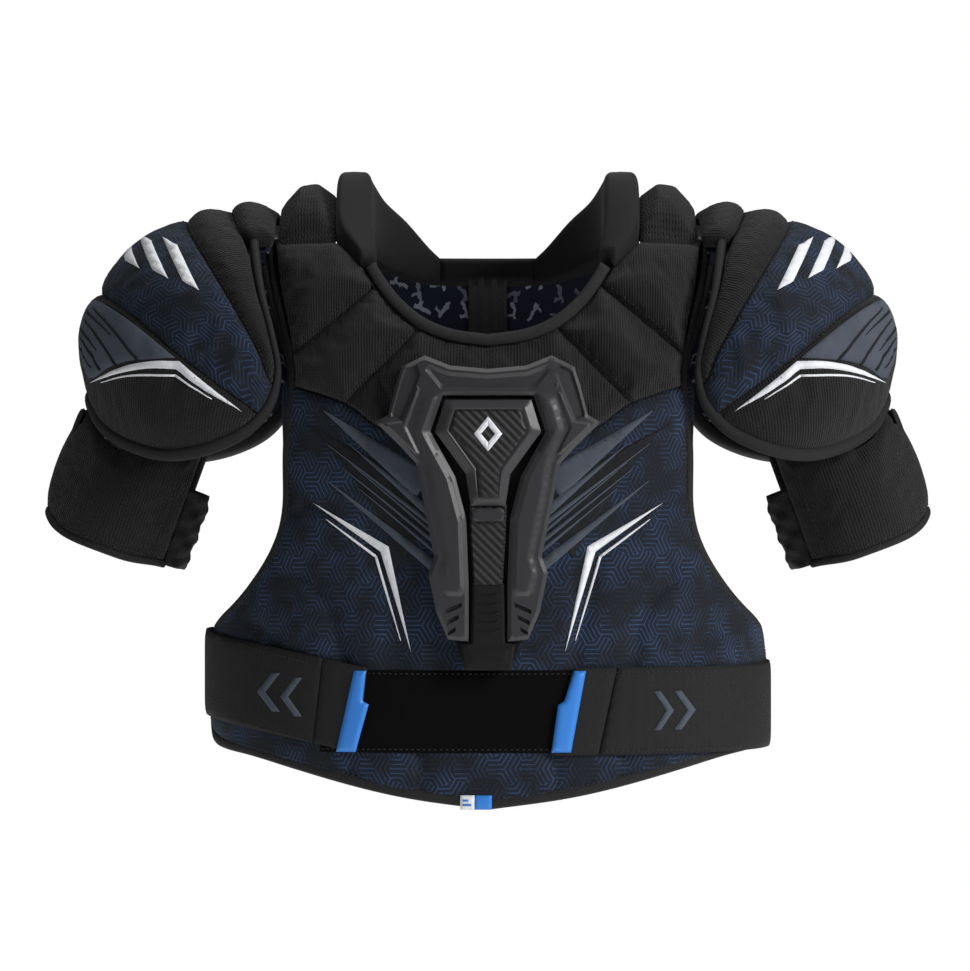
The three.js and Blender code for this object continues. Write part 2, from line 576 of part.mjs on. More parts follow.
function bellyClosure() {
  const loopBottom = loopTop - BELLY_BAND;
  const loop = [[0, loopTop], [LOOP_HALF_LENGTH, loopTop], [LOOP_HALF_LENGTH, loopBottom], [0, loopBottom]];
  add("belly_loop_panel", frontPiece(wholeOutline(loop), LOOP_PANEL), "loop");
  for (const side of ["left", "right"]) {
    const { end, climb, lean } = STRAP_FIT[side];
    const root = end + TAB_LENGTH;
    const low = (x) => STRAP_MIDDLE - STRAP_HEIGHT / 2 + climb * (x - end);
    const strip = (x0, x1, lean0, lean1) => [
      [x0 + lean0, low(x0)], [x1 + lean1, low(x1)], [x1, low(x1) + STRAP_HEIGHT], [x0, low(x0) + STRAP_HEIGHT],
    ];
    const band = onSide(side, strip(root + GAP, 240, lean, 0));
    const patch = prism(onSide(side, strip(150, 240, 0, 0)), STRAP_REAR + GAP, STRAP_REAR + ANCHOR.length);
    const anchor = layer(ANCHOR.layer).intersect(patch);
    add(`${side}_strap_anchor`, anchor, "elastic");
    const tab = onSide(side, strip(end, root - GAP, lean, lean));
    add(`${side}_belly_strap`, layer(STRAP).intersect(prism(band, -260, STRAP_REAR)), "elastic");
    add(`${side}_hook_tab`, layer(STRAP).intersect(prism(tab, -260, 0)), "elastic");
    const pull = [
      [end + lean, low(end) + 2], [end + 15 + lean, low(end) + 2], [end + 9, low(end) + STRAP_HEIGHT - 2],
      [end + 1, low(end) + STRAP_HEIGHT - 2], [end + lean * 0.4, low(end) + 0.62 * STRAP_HEIGHT],
      [end - 4 + lean * 0.4, low(end) + 0.58 * STRAP_HEIGHT],
    ];
    add(`${side}_pull_tab`, layer(PULL_TAB).intersect(prism(onSide(side, pull), -260, 0)), "blue");
  }
}

// Size label, folded into the hem's binding.
const LABEL = { width: 21, height: 9, x: -8 };

function sizeLabel() {
  const low = HEM_FRONT + 0.5;
  const outline = [
    [LABEL.x - LABEL.width / 2, low], [LABEL.x + LABEL.width / 2, low],
    [LABEL.x + LABEL.width / 2, low + LABEL.height], [LABEL.x - LABEL.width / 2, low + LABEL.height],
  ];
  add("size_label", frontPiece(outline, [9.8, 10.6]), "blue");
}

frontVest();
sternumGuard();
backVest();
bridges();
collar();
shoulderCaps();
armGuards();
bellyClosure();
sizeLabel();

export default pads;
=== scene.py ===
# Ice hockey shoulder pads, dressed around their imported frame. Sizes are in millimetres unless a line says
# otherwise, and become metres where a mesh is made.
import math

import bmesh
import bpy
import numpy as np
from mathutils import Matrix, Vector
from mathutils.bvhtree import BVHTree
from mathutils.geometry import delaunay_2d_cdt


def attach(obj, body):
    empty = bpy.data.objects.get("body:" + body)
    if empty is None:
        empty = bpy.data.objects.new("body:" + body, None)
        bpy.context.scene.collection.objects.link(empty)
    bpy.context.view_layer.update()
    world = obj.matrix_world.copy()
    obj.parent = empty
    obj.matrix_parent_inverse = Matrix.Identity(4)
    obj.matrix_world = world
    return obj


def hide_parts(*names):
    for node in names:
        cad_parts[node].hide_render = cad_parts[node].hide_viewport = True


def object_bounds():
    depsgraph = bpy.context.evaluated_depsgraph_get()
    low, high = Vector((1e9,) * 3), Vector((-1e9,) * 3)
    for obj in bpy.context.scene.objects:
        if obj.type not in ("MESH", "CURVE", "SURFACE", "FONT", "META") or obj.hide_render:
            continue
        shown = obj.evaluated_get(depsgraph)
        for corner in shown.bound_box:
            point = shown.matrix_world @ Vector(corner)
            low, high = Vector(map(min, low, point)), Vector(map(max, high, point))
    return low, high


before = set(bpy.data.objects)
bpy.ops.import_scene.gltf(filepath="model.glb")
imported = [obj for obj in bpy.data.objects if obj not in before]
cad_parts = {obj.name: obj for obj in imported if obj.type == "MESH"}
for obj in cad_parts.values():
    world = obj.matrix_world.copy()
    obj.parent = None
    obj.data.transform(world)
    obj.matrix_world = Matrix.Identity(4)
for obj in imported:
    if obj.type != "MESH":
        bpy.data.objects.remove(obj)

cad_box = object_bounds()
MM = 0.001
SIDES = {"left": 1, "right": -1}  # the wearer's left is +X


# ---- Studio: a flat, round, pale floor under broad soft lights ----
# The long lens looks level at the chest, and the pads stand clear of the floor.

def linear(hex_colour):
    """An sRGB hex colour as linear RGBA."""
    parts = [int(hex_colour[i : i + 2], 16) / 255 for i in (1, 3, 5)]
    return (*[p / 12.92 if p <= 0.04045 else ((p + 0.055) / 1.055) ** 2.4 for p in parts], 1.0)


def node(tree, kind, settings=None, inputs=None):
    """Adds a node. An input given as a socket is linked, and anything else is set."""
    made = tree.nodes.new(kind)
    for key, value in (settings or {}).items():
        setattr(made, key, value)
    for key, value in (inputs or {}).items():
        if isinstance(value, bpy.types.NodeSocket):
            tree.links.new(value, made.inputs[key])
        else:
            made.inputs[key].default_value = value
    return made


def material(name, **shader):
    """A material with its Principled shader's own sockets set; returns it with its tree and shader."""
    made = bpy.data.materials.new(name)
    made.use_nodes = True
    surface = made.node_tree.nodes["Principled BSDF"]
    for key, value in shader.items():
        surface.inputs[key.replace("_", " ")].default_value = value
    return made, made.node_tree, surface


def mesh_piece(name, points, faces, finish, body, smooth=True):
    """A piece from points in millimetres; it rides on a body and takes a material."""
    data = bpy.data.meshes.new(name)
    data.from_pydata([tuple(p) for p in np.asarray(points) * MM], [], [tuple(map(int, f)) for f in faces])
    data.update()
    data.shade_smooth() if smooth else data.shade_flat()
    data.materials.append(finish)
    piece = bpy.data.objects.new(name, data)
    bpy.context.scene.collection.objects.link(piece)
    if body:
        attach(piece, body)
    return piece


# Painted studio floor: matt emulsion with the faint mottle of a roller.
floor_paint, floor_tree, floor_surface = material("matt_emulsion", Roughness=0.9)
roller = node(floor_tree, "ShaderNodeTexNoise", inputs={"Scale": 6.0})
floor_tint = node(
    floor_tree, "ShaderNodeMix", {"data_type": "RGBA"},
    {"Factor": roller.outputs["Fac"], 6: linear("#f6f6f6"), 7: linear("#fafafa")},
)
floor_tree.links.new(floor_tint.outputs[2], floor_surface.inputs["Base Color"])
floor_surface.inputs["Emission Color"].default_value = (1, 1, 1, 1)
floor_surface.inputs["Emission Strength"].default_value = 0.45

FLOOR_DROP, FLOOR_RADIUS = 190, 1250
FLOOR_Z = cad_box[0][2] / MM - FLOOR_DROP
floor_rim = [
    (FLOOR_RADIUS * math.cos(a), FLOOR_RADIUS * math.sin(a), FLOOR_Z)
    for a in np.linspace(0, 2 * math.pi, 97)[:-1]
]
mesh_piece("studio_floor", floor_rim, [tuple(range(96))], floor_paint, None)


def soft_light(name, place, target, size, watts):
    data = bpy.data.lights.new(name, "AREA")
    data.shape = "RECTANGLE"
    data.size, data.size_y = size
    data.energy = watts
    lamp = bpy.data.objects.new(name, data)
    lamp.location = place
    lamp.rotation_euler = (Vector(target) - Vector(place)).to_track_quat("-Z", "Y").to_euler()
    bpy.context.scene.collection.objects.link(lamp)


CHEST = (0, -0.05, -0.17)
soft_light("key", (2.3, -1.5, 1.0), CHEST, (1.1, 1.3), 92)
soft_light("fill", (-1.9, -1.9, 0.9), CHEST, (1.4, 1.6), 3)
soft_light("top", (0.0, 0.3, 2.1), CHEST, (2.2, 1.2), 28)
# The air is white to the eye, and dim in reflections, as in a studio whose far walls are black.
world = bpy.data.worlds.new("studio_air")
world.use_nodes = True
air = world.node_tree.nodes["Background"]
ray = node(world.node_tree, "ShaderNodeLightPath")
seen = node(
    world.node_tree, "ShaderNodeMath", {"operation": "MULTIPLY_ADD"},
    {0: ray.outputs["Is Camera Ray"], 1: 0.78, 2: 0.22},
)
dimmed = node(
    world.node_tree, "ShaderNodeMath", {"operation": "MULTIPLY_ADD"},
    {0: ray.outputs["Is Glossy Ray"], 1: -0.1, 2: seen.outputs[0]},
)
world.node_tree.links.new(dimmed.outputs[0], air.inputs["Strength"])
air.inputs["Color"].default_value = (1, 1, 1, 1)
bpy.context.scene.world = world
bpy.context.scene.view_settings.view_transform = "Standard"

# One picture width covers 660 mm at the chest; the lens stands level with the middle of the pads.
CAMERA_DISTANCE, FIELD_WIDTH, CHEST_PLANE = 2600, 659.6, -60
camera_data = bpy.data.cameras.new("camera")
camera_data.sensor_width = 36
camera_data.lens = 36 * CAMERA_DISTANCE / FIELD_WIDTH
camera_data.clip_start = 0.05
camera = bpy.data.objects.new("camera", camera_data)
camera.location = Vector((-2, CHEST_PLANE - CAMERA_DISTANCE, -174)) * MM
camera.rotation_euler = (math.pi / 2, 0, 0)
bpy.context.scene.collection.objects.link(camera)
bpy.context.scene.camera = camera


# ---- Printed front panel: navy polyester, sublimation printed, quilted over 6 mm foam ----
# It covers the ribs below the black chest pads. Curved rows of lock-stitch pull it down to the lining.

HALF_WIDTH, FRONT_DEPTH, BACK_DEPTH, SQUARENESS = 182, 112, 106, 2.4
SHOULDER_TOP, SHOULDER_DROP, FRONT_CURVE, BACK_CURVE = 18, 20, -130, -70
VEST_OUT = 8  # the vest's outer face lies this far from the wearer
GIRTH = HALF_WIDTH + VEST_OUT  # millimetres of girth per radian round the chest


def girth(x):
    """The girth coordinate of a point seen at x from the front."""
    return GIRTH * np.arcsin(np.clip(np.asarray(x, float) / GIRTH, -0.9997, 0.9997))


def ease(value, low, high):
    t = np.clip((value - low) / (high - low), 0, 1)
    return t * t * (3 - 2 * t)


def torso(flat, out, side=-1):
    """Points of the torso, out mm clear of the wearer, for [girth, height] pairs; side -1 is the front.
    More than a quarter turn of girth goes on round the wearer's side."""
    flat = np.asarray(flat, float)
    turn, z = flat[:, 0] / GIRTH, flat[:, 1]
    fanned = 1 + ease(np.abs(flat[:, 0]), 130, 210) * (out - VEST_OUT) / GIRTH
    x = GIRTH * np.sin(turn) * fanned
    facing = side * np.where(np.abs(turn) > math.pi / 2, -1, 1)
    across = np.clip(np.abs(x) / (HALF_WIDTH + out), 0, 0.99995)
    depth = np.where(facing < 0, FRONT_DEPTH, BACK_DEPTH) + out
    start = np.where(facing < 0, FRONT_CURVE, BACK_CURVE)
    top = SHOULDER_TOP - SHOULDER_DROP * np.minimum(np.abs(x) / HALF_WIDTH, 1) ** 3.4 + out
    rise = np.arcsin(np.clip((z - start) / (top - start), 0, 1))
    y = facing * depth * (1 - across**SQUARENESS) ** (1 / SQUARENESS) * np.cos(rise)
    return np.column_stack([x, y, z])


def resample(points, step):
    """A polyline with points about step apart."""
    points = np.asarray(points, float)
    along = np.concatenate([[0], np.cumsum(np.linalg.norm(np.diff(points, axis=0), axis=1))])
    count = max(int(round(along[-1] / step)), 1) + 1
    wanted = np.linspace(0, along[-1], count)
    return np.column_stack([np.interp(wanted, along, points[:, k]) for k in range(points.shape[1])])


def curve(points, step=3.0):
    """A smooth (Catmull-Rom) line through the points, in steps of about step. Two give a straight line."""
    p = np.asarray(points, float)
    p = np.vstack([2 * p[0] - p[1], p, 2 * p[-1] - p[-2]])
    t = np.linspace(0, 1, 12, endpoint=False)[:, None]
    runs = []
    for a, b, c, d in zip(p, p[1:], p[2:], p[3:]):
        runs.append(
            0.5 * (
                2 * b + (c - a) * t + (2 * a - 5 * b + 4 * c - d) * t**2 + (3 * b - a - 3 * c + d) * t**3
            )
        )
    return resample(np.vstack([*runs, p[-2][None]]), step)


def loop_of(*runs, step=3.0):
    """A closed outline from smooth runs that meet at corners: each run starts where the last one ended."""
    return np.vstack([curve(run, step)[:-1] for run in runs])


def mirrored(points, side=-1):
    points = np.array(points, float)
    points[:, 0] *= side
    return points


def on_girth(points):
    points = np.array(points, float)
    points[:, 0] = girth(points[:, 0])
    return points


def distance_to(points, line, closed=False):
    """How far each point lies from a polyline."""
    line = np.asarray(line, float)
    ends = np.roll(line, -1, axis=0) if closed else line[1:]
    starts = line if closed else line[:-1]
    best = np.full(len(points), 1e9)
    for a, b in zip(starts, ends):
        ab = b - a
        t = np.clip(((points - a) @ ab) / max(ab @ ab, 1e-12), 0, 1)
        best = np.minimum(best, np.linalg.norm(points - (a + t[:, None] * ab), axis=1))
    return best


def inside(points, loop):
    """Which points lie inside a closed outline."""
    result = np.zeros(len(points), bool)
    for a, b in zip(loop, np.roll(loop, -1, axis=0)):
        crosses = (a[1] > points[:, 1]) != (b[1] > points[:, 1])
        with np.errstate(divide="ignore", invalid="ignore"):
            at = a[0] + (points[:, 1] - a[1]) * (b[0] - a[0]) / (b[1] - a[1])
        result ^= crosses & (points[:, 0] < at)
    return result


def fill(loop, lines=(), pitch=3.4):
    """Even triangles inside a closed outline, with edges along the given lines."""
    lo, hi = loop.min(0), loop.max(0)
    rows = np.arange(lo[1], hi[1], pitch * 0.866)
    grid = [
        (x + (pitch / 2 if i % 2 else 0), z)
        for i, z in enumerate(rows)
        for x in np.arange(lo[0], hi[0], pitch)
    ]
    grid = np.array(grid)
    grid = grid[inside(grid, loop)]
    grid = grid[distance_to(grid, loop, closed=True) > pitch * 0.6]
    for line in lines:
        grid = grid[distance_to(grid, line) > pitch * 0.6]
    points, edges = [loop], [(i, (i + 1) % len(loop)) for i in range(len(loop))]
    start = len(loop)
    for line in lines:
        points.append(line)
        edges += [(start + i, start + i + 1) for i in range(len(line) - 1)]
        start += len(line)
    every = np.vstack([*points, grid])
    made = delaunay_2d_cdt([Vector(p) for p in every], edges, [], 0, 1e-4)
    flat = np.array([tuple(v) for v in made[0]])
    faces = np.array(made[2])
    return flat, faces[inside(flat[faces].mean(1), loop)]


def closed_sheet(flat, faces, top, bottom):
    """A closed solid between two sheets of the same triangles, with walls round their free edges."""
    count = len(flat)
    edges = {}
    for a, b, c in faces:
        for edge in ((a, b), (b, c), (c, a)):
            edges[tuple(sorted(edge))] = None if tuple(sorted(edge)) in edges else edge
    walls = [(b, a, a + count, b + count) for a, b in filter(None, edges.values())]
    return np.vstack([top, bottom]), [*faces, *(faces[:, ::-1] + count), *walls]


def face_outward(piece):
    """Turns every face of a closed piece outward."""
    work = bmesh.new()
    work.from_mesh(piece.data)
    bmesh.ops.recalc_face_normals(work, faces=work.faces)
    work.to_mesh(piece.data)
    work.free()


def lay_pattern(piece, flat):
    """Stores each point's place in its flat pattern, in metres, so that a print lies along the cloth."""
    layer = piece.data.attributes.new("pattern", "FLOAT_VECTOR", "POINT")
    layer.data.foreach_set("vector", (np.column_stack([flat, np.zeros(len(flat))]) * MM).ravel())


def quilt(name, loop, body, finish, slot, seams=(), low=2, edge=9, high=18, roll=7, dip=0.75, place=torso,
          pitch=3.4, **kind):
    """A quilted pad: a closed cushion over an outline, pulled down at its edge and along its seams."""
    flat, faces = fill(loop, seams, pitch)
    full = 1 - np.exp(-distance_to(flat, loop, closed=True) / roll)
    for seam in seams:
        full = full * (1 - dip * np.exp(-((distance_to(flat, seam) / (0.75 * roll)) ** 1.4)))
    top = edge + (high - edge) * full
    points, skin = closed_sheet(
        flat, faces, place(flat, top, **kind), place(flat, np.full(len(flat), low), **kind)
    )
    piece = mesh_piece(name, points, skin, finish, body)
    lay_pattern(piece, np.vstack([flat, flat]))
    face_outward(piece)
    held = piece.vertex_groups.new(name="sewn")
    near = distance_to(flat, loop, closed=True)
    for seam in seams:
        near = np.minimum(near, distance_to(flat, seam))
    free = np.flatnonzero(near > 0.5 * pitch)
    sewn = np.setdiff1d(np.arange(len(points)), free)
    held.add([int(i) for i in sewn], 1.0, "REPLACE")
    return piece


def swell(pieces, cap, pressure=4.0, slack=0.04, frames=16):
    """Blows pads up as cloth held at their seams, so that the cover puckers, and keeps the result."""
    scene = bpy.context.scene
    for piece in pieces:
        cloth = piece.modifiers.new("cloth", "CLOTH")
        cloth.settings.quality = 4
        cloth.settings.mass = 0.25
        cloth.settings.use_pressure = True
        cloth.settings.uniform_pressure_force = pressure
        cloth.settings.shrink_min = -slack
        cloth.settings.vertex_group_mass = "sewn"
        cloth.settings.effector_weights.gravity = 0
        cloth.settings.bending_stiffness = 0.8
        cloth.collision_settings.use_collision = False
        cloth.point_cache.frame_end = frames
    for step in range(1, frames + 1):
        scene.frame_set(step)
    graph = bpy.context.evaluated_depsgraph_get()
    for piece in pieces:
        start = np.empty(len(piece.data.vertices) * 3)
        piece.data.vertices.foreach_get("co", start)
        end = np.empty_like(start)
        piece.evaluated_get(graph).data.vertices.foreach_get("co", end)
        start, end = start.reshape(-1, 3), end.reshape(-1, 3)
        moved = end - start
        far = np.linalg.norm(moved, axis=1, keepdims=True)
        moved *= np.minimum(1, cap * MM / np.maximum(far, 1e-9))
        piece.modifiers.clear()
        piece.data.vertices.foreach_set("co", (start + moved).ravel())
        piece.data.update()
    scene.frame_set(1)


def weave_bump(tree, surface, thread, depth, strength, stretch=(1, 1, 1), ribs=0.0, laid=False):
    """Threads thread mm apart, crossing in a plain weave, as a bump. Laid, they follow the flat pattern."""
    if laid:
        flat = node(tree, "ShaderNodeAttribute", {"attribute_name": "pattern"})
        across = node(tree, "ShaderNodeSeparateXYZ", inputs={0: flat.outputs["Vector"]})
        place = node(
            tree, "ShaderNodeCombineXYZ", inputs={0: across.outputs[0], 2: across.outputs[1]}
        ).outputs[0]
    else:
        place = node(tree, "ShaderNodeTexCoord").outputs["Object"]
    scale = [s / (thread * MM) for s in stretch]
    scaled = node(tree, "ShaderNodeMapping", inputs={0: place, "Scale": scale})
    wavy = node(
        tree, "ShaderNodeTexNoise", inputs={"Vector": scaled.outputs[0], "Scale": 0.35, "Detail": 3.0}
    )
    shifted = node(
        tree, "ShaderNodeVectorMath", {"operation": "MULTIPLY_ADD"},
        {0: wavy.outputs["Color"], 1: (0.6, 0.6, 0.6), 2: scaled.outputs[0]},
    )
    parts = node(tree, "ShaderNodeSeparateXYZ", inputs={0: shifted.outputs[0]})
    waves = []
    for axis in range(3):
        turned = node(
            tree, "ShaderNodeMath", {"operation": "MULTIPLY"}, {0: parts.outputs[axis], 1: 2 * math.pi}
        )
        waves.append(node(tree, "ShaderNodeMath", {"operation": "SINE"}, {0: turned.outputs[0]}))
    cross = node(
        tree, "ShaderNodeMath", {"operation": "MULTIPLY"}, {0: waves[0].outputs[0], 1: waves[2].outputs[0]}
    )
    ribbed = node(
        tree, "ShaderNodeMath", {"operation": "MULTIPLY_ADD"},
        {0: waves[0].outputs[0], 1: ribs, 2: cross.outputs[0]},
    )
    cloth = node(
        tree, "ShaderNodeMath", {"operation": "MULTIPLY_ADD"},
        {0: waves[1].outputs[0], 1: 0.3, 2: ribbed.outputs[0]},
    )
    fuzz = node(tree, "ShaderNodeTexNoise", inputs={"Vector": scaled.outputs[0], "Scale": 1.3, "Detail": 4.0})
    height = node(
        tree, "ShaderNodeMath", {"operation": "MULTIPLY_ADD"},
        {0: fuzz.outputs["Fac"], 1: 1.6, 2: cloth.outputs[0]},
    )
    bump = node(
        tree, "ShaderNodeBump",
        inputs={"Strength": strength, "Distance": depth * MM, "Height": height.outputs[0]},
    )
    tree.links.new(bump.outputs[0], surface.inputs["Normal"])
    return height.outputs[0], scaled.outputs[0]


def tripod_print(tree, cell):
    """Nested three-armed line figures on a hexagon grid cell mm across: the distance to the nearest line."""
    flat = node(tree, "ShaderNodeAttribute", {"attribute_name": "pattern"})
    p = node(
        tree, "ShaderNodeVectorMath", {"operation": "SCALE"},
        {0: flat.outputs["Vector"], "Scale": 1 / (cell * MM)},
    )
    tile = (1, math.sqrt(3), 1)
    half = (0.5, math.sqrt(3) / 2, 0)

    def lattice(start):
        wrapped = node(tree, "ShaderNodeVectorMath", {"operation": "WRAP"}, {0: start, 1: tile, 2: (0, 0, 0)})
        return node(tree, "ShaderNodeVectorMath", {"operation": "SUBTRACT"}, {0: wrapped.outputs[0], 1: half})

    first = lattice(p.outputs[0])
    moved = node(tree, "ShaderNodeVectorMath", {"operation": "SUBTRACT"}, {0: p.outputs[0], 1: half})
    second = lattice(moved.outputs[0])
    long_first = node(tree, "ShaderNodeVectorMath", {"operation": "LENGTH"}, {0: first.outputs[0]})
    long_second = node(tree, "ShaderNodeVectorMath", {"operation": "LENGTH"}, {0: second.outputs[0]})
    nearer = node(
        tree, "ShaderNodeMath", {"operation": "LESS_THAN"},
        {0: long_second.outputs["Value"], 1: long_first.outputs["Value"]},
    )
    local = node(
        tree, "ShaderNodeMix", {"data_type": "VECTOR"},
        {"Factor": nearer.outputs[0], 4: first.outputs[0], 5: second.outputs[0]},
    )
    xy = node(tree, "ShaderNodeSeparateXYZ", inputs={0: local.outputs[1]})
    radius = node(tree, "ShaderNodeVectorMath", {"operation": "LENGTH"}, {0: local.outputs[1]})
    angle = node(tree, "ShaderNodeMath", {"operation": "ARCTAN2"}, {0: xy.outputs[1], 1: xy.outputs[0]})
    sector = node(
        tree, "ShaderNodeMath", {"operation": "WRAP"},
        {0: angle.outputs[0], 1: math.pi / 3, 2: -math.pi / 3},
    )
    sided = node(tree, "ShaderNodeMath", {"operation": "ABSOLUTE"}, {0: sector.outputs[0]})
    to_arm = node(tree, "ShaderNodeMath", {"operation": "SUBTRACT"}, {0: math.pi / 3, 1: sided.outputs[0]})
    sine = node(tree, "ShaderNodeMath", {"operation": "SINE"}, {0: to_arm.outputs[0]})
    offset = node(
        tree, "ShaderNodeMath", {"operation": "MULTIPLY"}, {0: sine.outputs[0], 1: radius.outputs["Value"]}
    )
    nested = node(
        tree, "ShaderNodeMath", {"operation": "PINGPONG"}, {0: offset.outputs[0], 1: LINE_PITCH / 2}
    )
    return nested.outputs[0], p.outputs[0]


# Navy polyester, sublimation printed: a black ground with nested lines in faded blue. The real lines are
# 0.6 mm wide, 3 mm apart, in figures 22 mm across.
LINE_PITCH = 0.136  # in figure widths
navy_print, navy_tree, navy_surface = material(
    "printed_navy_polyester", Roughness=0.8, Sheen_Weight=0.03, Sheen_Roughness=0.5, Specular_IOR_Level=0.2
)
near_line, print_place = tripod_print(navy_tree, 22)
line_ramp = node(navy_tree, "ShaderNodeMapRange", inputs={0: near_line, 1: 0.011, 2: 0.024, 3: 1.0, 4: 0.0})
fading = node(navy_tree, "ShaderNodeTexNoise", inputs={"Vector": print_place, "Scale": 0.85, "Detail": 2.0})
fade_ramp = node(
    navy_tree, "ShaderNodeMapRange", inputs={0: fading.outputs["Fac"], 1: 0.4, 2: 0.66, 3: 0.1, 4: 1.0}
)
line_strength = node(
    navy_tree, "ShaderNodeMath", {"operation": "MULTIPLY"},
    {0: line_ramp.outputs[0], 1: fade_ramp.outputs[0]},
)
ground = node(
    navy_tree, "ShaderNodeMix", {"data_type": "RGBA"},
    {"Factor": fade_ramp.outputs[0], 6: linear("#0e1116"), 7: linear("#141b29")},
)
printed = node(
    navy_tree, "ShaderNodeMix", {"data_type": "RGBA"},
    {"Factor": line_strength.outputs[0], 6: ground.outputs[2], 7: linear("#293e5c")},
)
navy_tree.links.new(printed.outputs[2], navy_surface.inputs["Base Color"])
weave_bump(navy_tree, navy_surface, 1.5, 0.12, 0.45)

NECK = [(0, -73.5), (24, -70), (43, -62), (59, -48.5), (70, -34), (76, -24)]
BINDING = 8
CHEST_LINE = [(0, -142), (50, -140), (72, -135), (95, -119), (130, -107)]
SIDE_EDGE = [(138, -107), (137.5, -150), (138, -190), (145, -215), (158, -237), (172, -254), (186, -269)]
WAIST = [(189.9, -292), (189.93, -336)]
HEM = [(188, -343), (160, -355.5), (128, -363.5), (60, -380), (0, -388.5)]
panel_half = [on_girth(CHEST_LINE), on_girth(SIDE_EDGE), on_girth(WAIST), on_girth(HEM)]
front_loop = loop_of(
    panel_half[0], [panel_half[0][-1], *panel_half[1]], [panel_half[1][-1], *panel_half[2]],
    [panel_half[2][-1], *panel_half[3]], mirrored(panel_half[3])[::-1],
    [*mirrored(panel_half[2])[::-1], mirrored(panel_half[1])[-1]],
    [*mirrored(panel_half[1])[::-1], mirrored(panel_half[0])[-1]], mirrored(panel_half[0])[::-1],
)
SEAMS = [
    [(121, -186), (100, -196), (80, -212), (68, -240), (58, -288)],
    [(124, -233), (106, -257), (95, -292)],
    [(158, -268), (146, -276), (134, -294)],
    [(90, -352), (91, -371)], [(44, -352), (46, -383)],
]
front_seams = [curve(on_girth(mirrored(seam, side))) for seam in SEAMS for side in (1, -1)]
front_panel = quilt(
    "quilted_front_panel", front_loop, "front", navy_print, "navy_print",
    front_seams, low=2, edge=8, high=11.5, roll=9, dip=0.8,
)
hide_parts("front_panel")
# The loop panel and the label are sewn flat on the cloth, so the panel can't puff up under them.
HELD_HALF, HELD_LOW, HELD_TOP = 90, -352, -284  # the part held flat under the loop panel
LABEL_HALF, LABEL_TOP = 24, -370
flat_at = np.array([tuple(at.vector)[:2] for at in front_panel.data.attributes["pattern"].data]) / MM
from_middle, up = np.abs(flat_at[:, 0]), flat_at[:, 1]
under_loop = (from_middle < HELD_HALF) & (up < HELD_TOP) & (up > HELD_LOW)
under_label = (from_middle < LABEL_HALF) & (up < LABEL_TOP)
front_panel.vertex_groups["sewn"].add(
    [int(i) for i in np.flatnonzero(under_loop | under_label)], 1.0, "REPLACE"
)
swell([front_panel], cap=0.5, slack=0.02)


# ---- Black chest pads: warp-knit polyester over 14 mm foam, in seven stitched-down cushions ----
# Clavicle and upper chest pads lie slantwise on each side of a centre pad that carries the sternum guard.

# Warp-knit polyester: a matt near-black with fine upright ribs and a soft edge sheen.
black_knit, knit_tree, knit_surface = material(
    "warp_knit_polyester", Roughness=0.88, Sheen_Weight=0.06, Sheen_Roughness=0.5, Specular_IOR_Level=0.2
)
knit_height, knit_place = weave_bump(knit_tree, knit_surface, 2.0, 0.3, 0.75, ribs=1.1, laid=True)
worn = node(knit_tree, "ShaderNodeTexNoise", inputs={"Vector": knit_place, "Scale": 0.04, "Detail": 4.0})
# The knit's hollows are painted darker and its raised ribs lighter: painted shade and light, mixed with broad
# worn patches.
knit_relief_shading = node(knit_tree, "ShaderNodeMapRange", inputs={0: knit_height, 1: -0.6, 2: 2.2, 3: 0.0, 4: 1.0})
knit_wear_and_shading = node(
    knit_tree, "ShaderNodeMath", {"operation": "MULTIPLY_ADD"},
    {0: worn.outputs["Fac"], 1: 0.5, 2: knit_relief_shading.outputs[0]},
)
knit_colour = node(
    knit_tree, "ShaderNodeMix", {"data_type": "RGBA"},
    {"Factor": knit_wear_and_shading.outputs[0], 6: linear("#080808"), 7: linear("#1a191a")},
)
knit_tree.links.new(knit_colour.outputs[2], knit_surface.inputs["Base Color"])

PAD_TOP = -9.2
SEAM_UPPER = [(58, -27), (79.5, -43.5), (135, -90)]
SEAM_LOWER = [(47, -70), (72, -96), (96, -119.5)]
neck_low = [(0, -81.5), (25, -78), (46.5, -69.5), (64, -55), (76.5, -39), (84, -28)]


def crossing(line, other):
    """The point of a smooth line that lies nearest to another."""
    fine, target = curve(line, 0.5), curve(other, 0.5)
    return tuple(fine[np.argmin(distance_to(fine, target))])


def between(line, first, last):
    """A smooth line from the point nearest first to the point nearest last."""
    fine = curve(line, 0.5)
    i = int(np.argmin(np.linalg.norm(fine - first, axis=1)))
    k = int(np.argmin(np.linalg.norm(fine - last, axis=1)))
    part = fine[min(i, k) : max(i, k) + 1]
    return resample(part if i <= k else part[::-1], 6)


arm_side = [(144, PAD_TOP), (139, -42), (133, -70), (129, -97), (129.5, -107)]
upper_in, upper_out = crossing(neck_low, SEAM_UPPER), crossing(arm_side, SEAM_UPPER)
lower_in, lower_out = crossing(neck_low, SEAM_LOWER), crossing(CHEST_LINE, SEAM_LOWER)
chest_corner = crossing(CHEST_LINE, arm_side)


def pad_loop(*runs):
    return loop_of(*[on_girth(run) for run in runs], step=2.8)


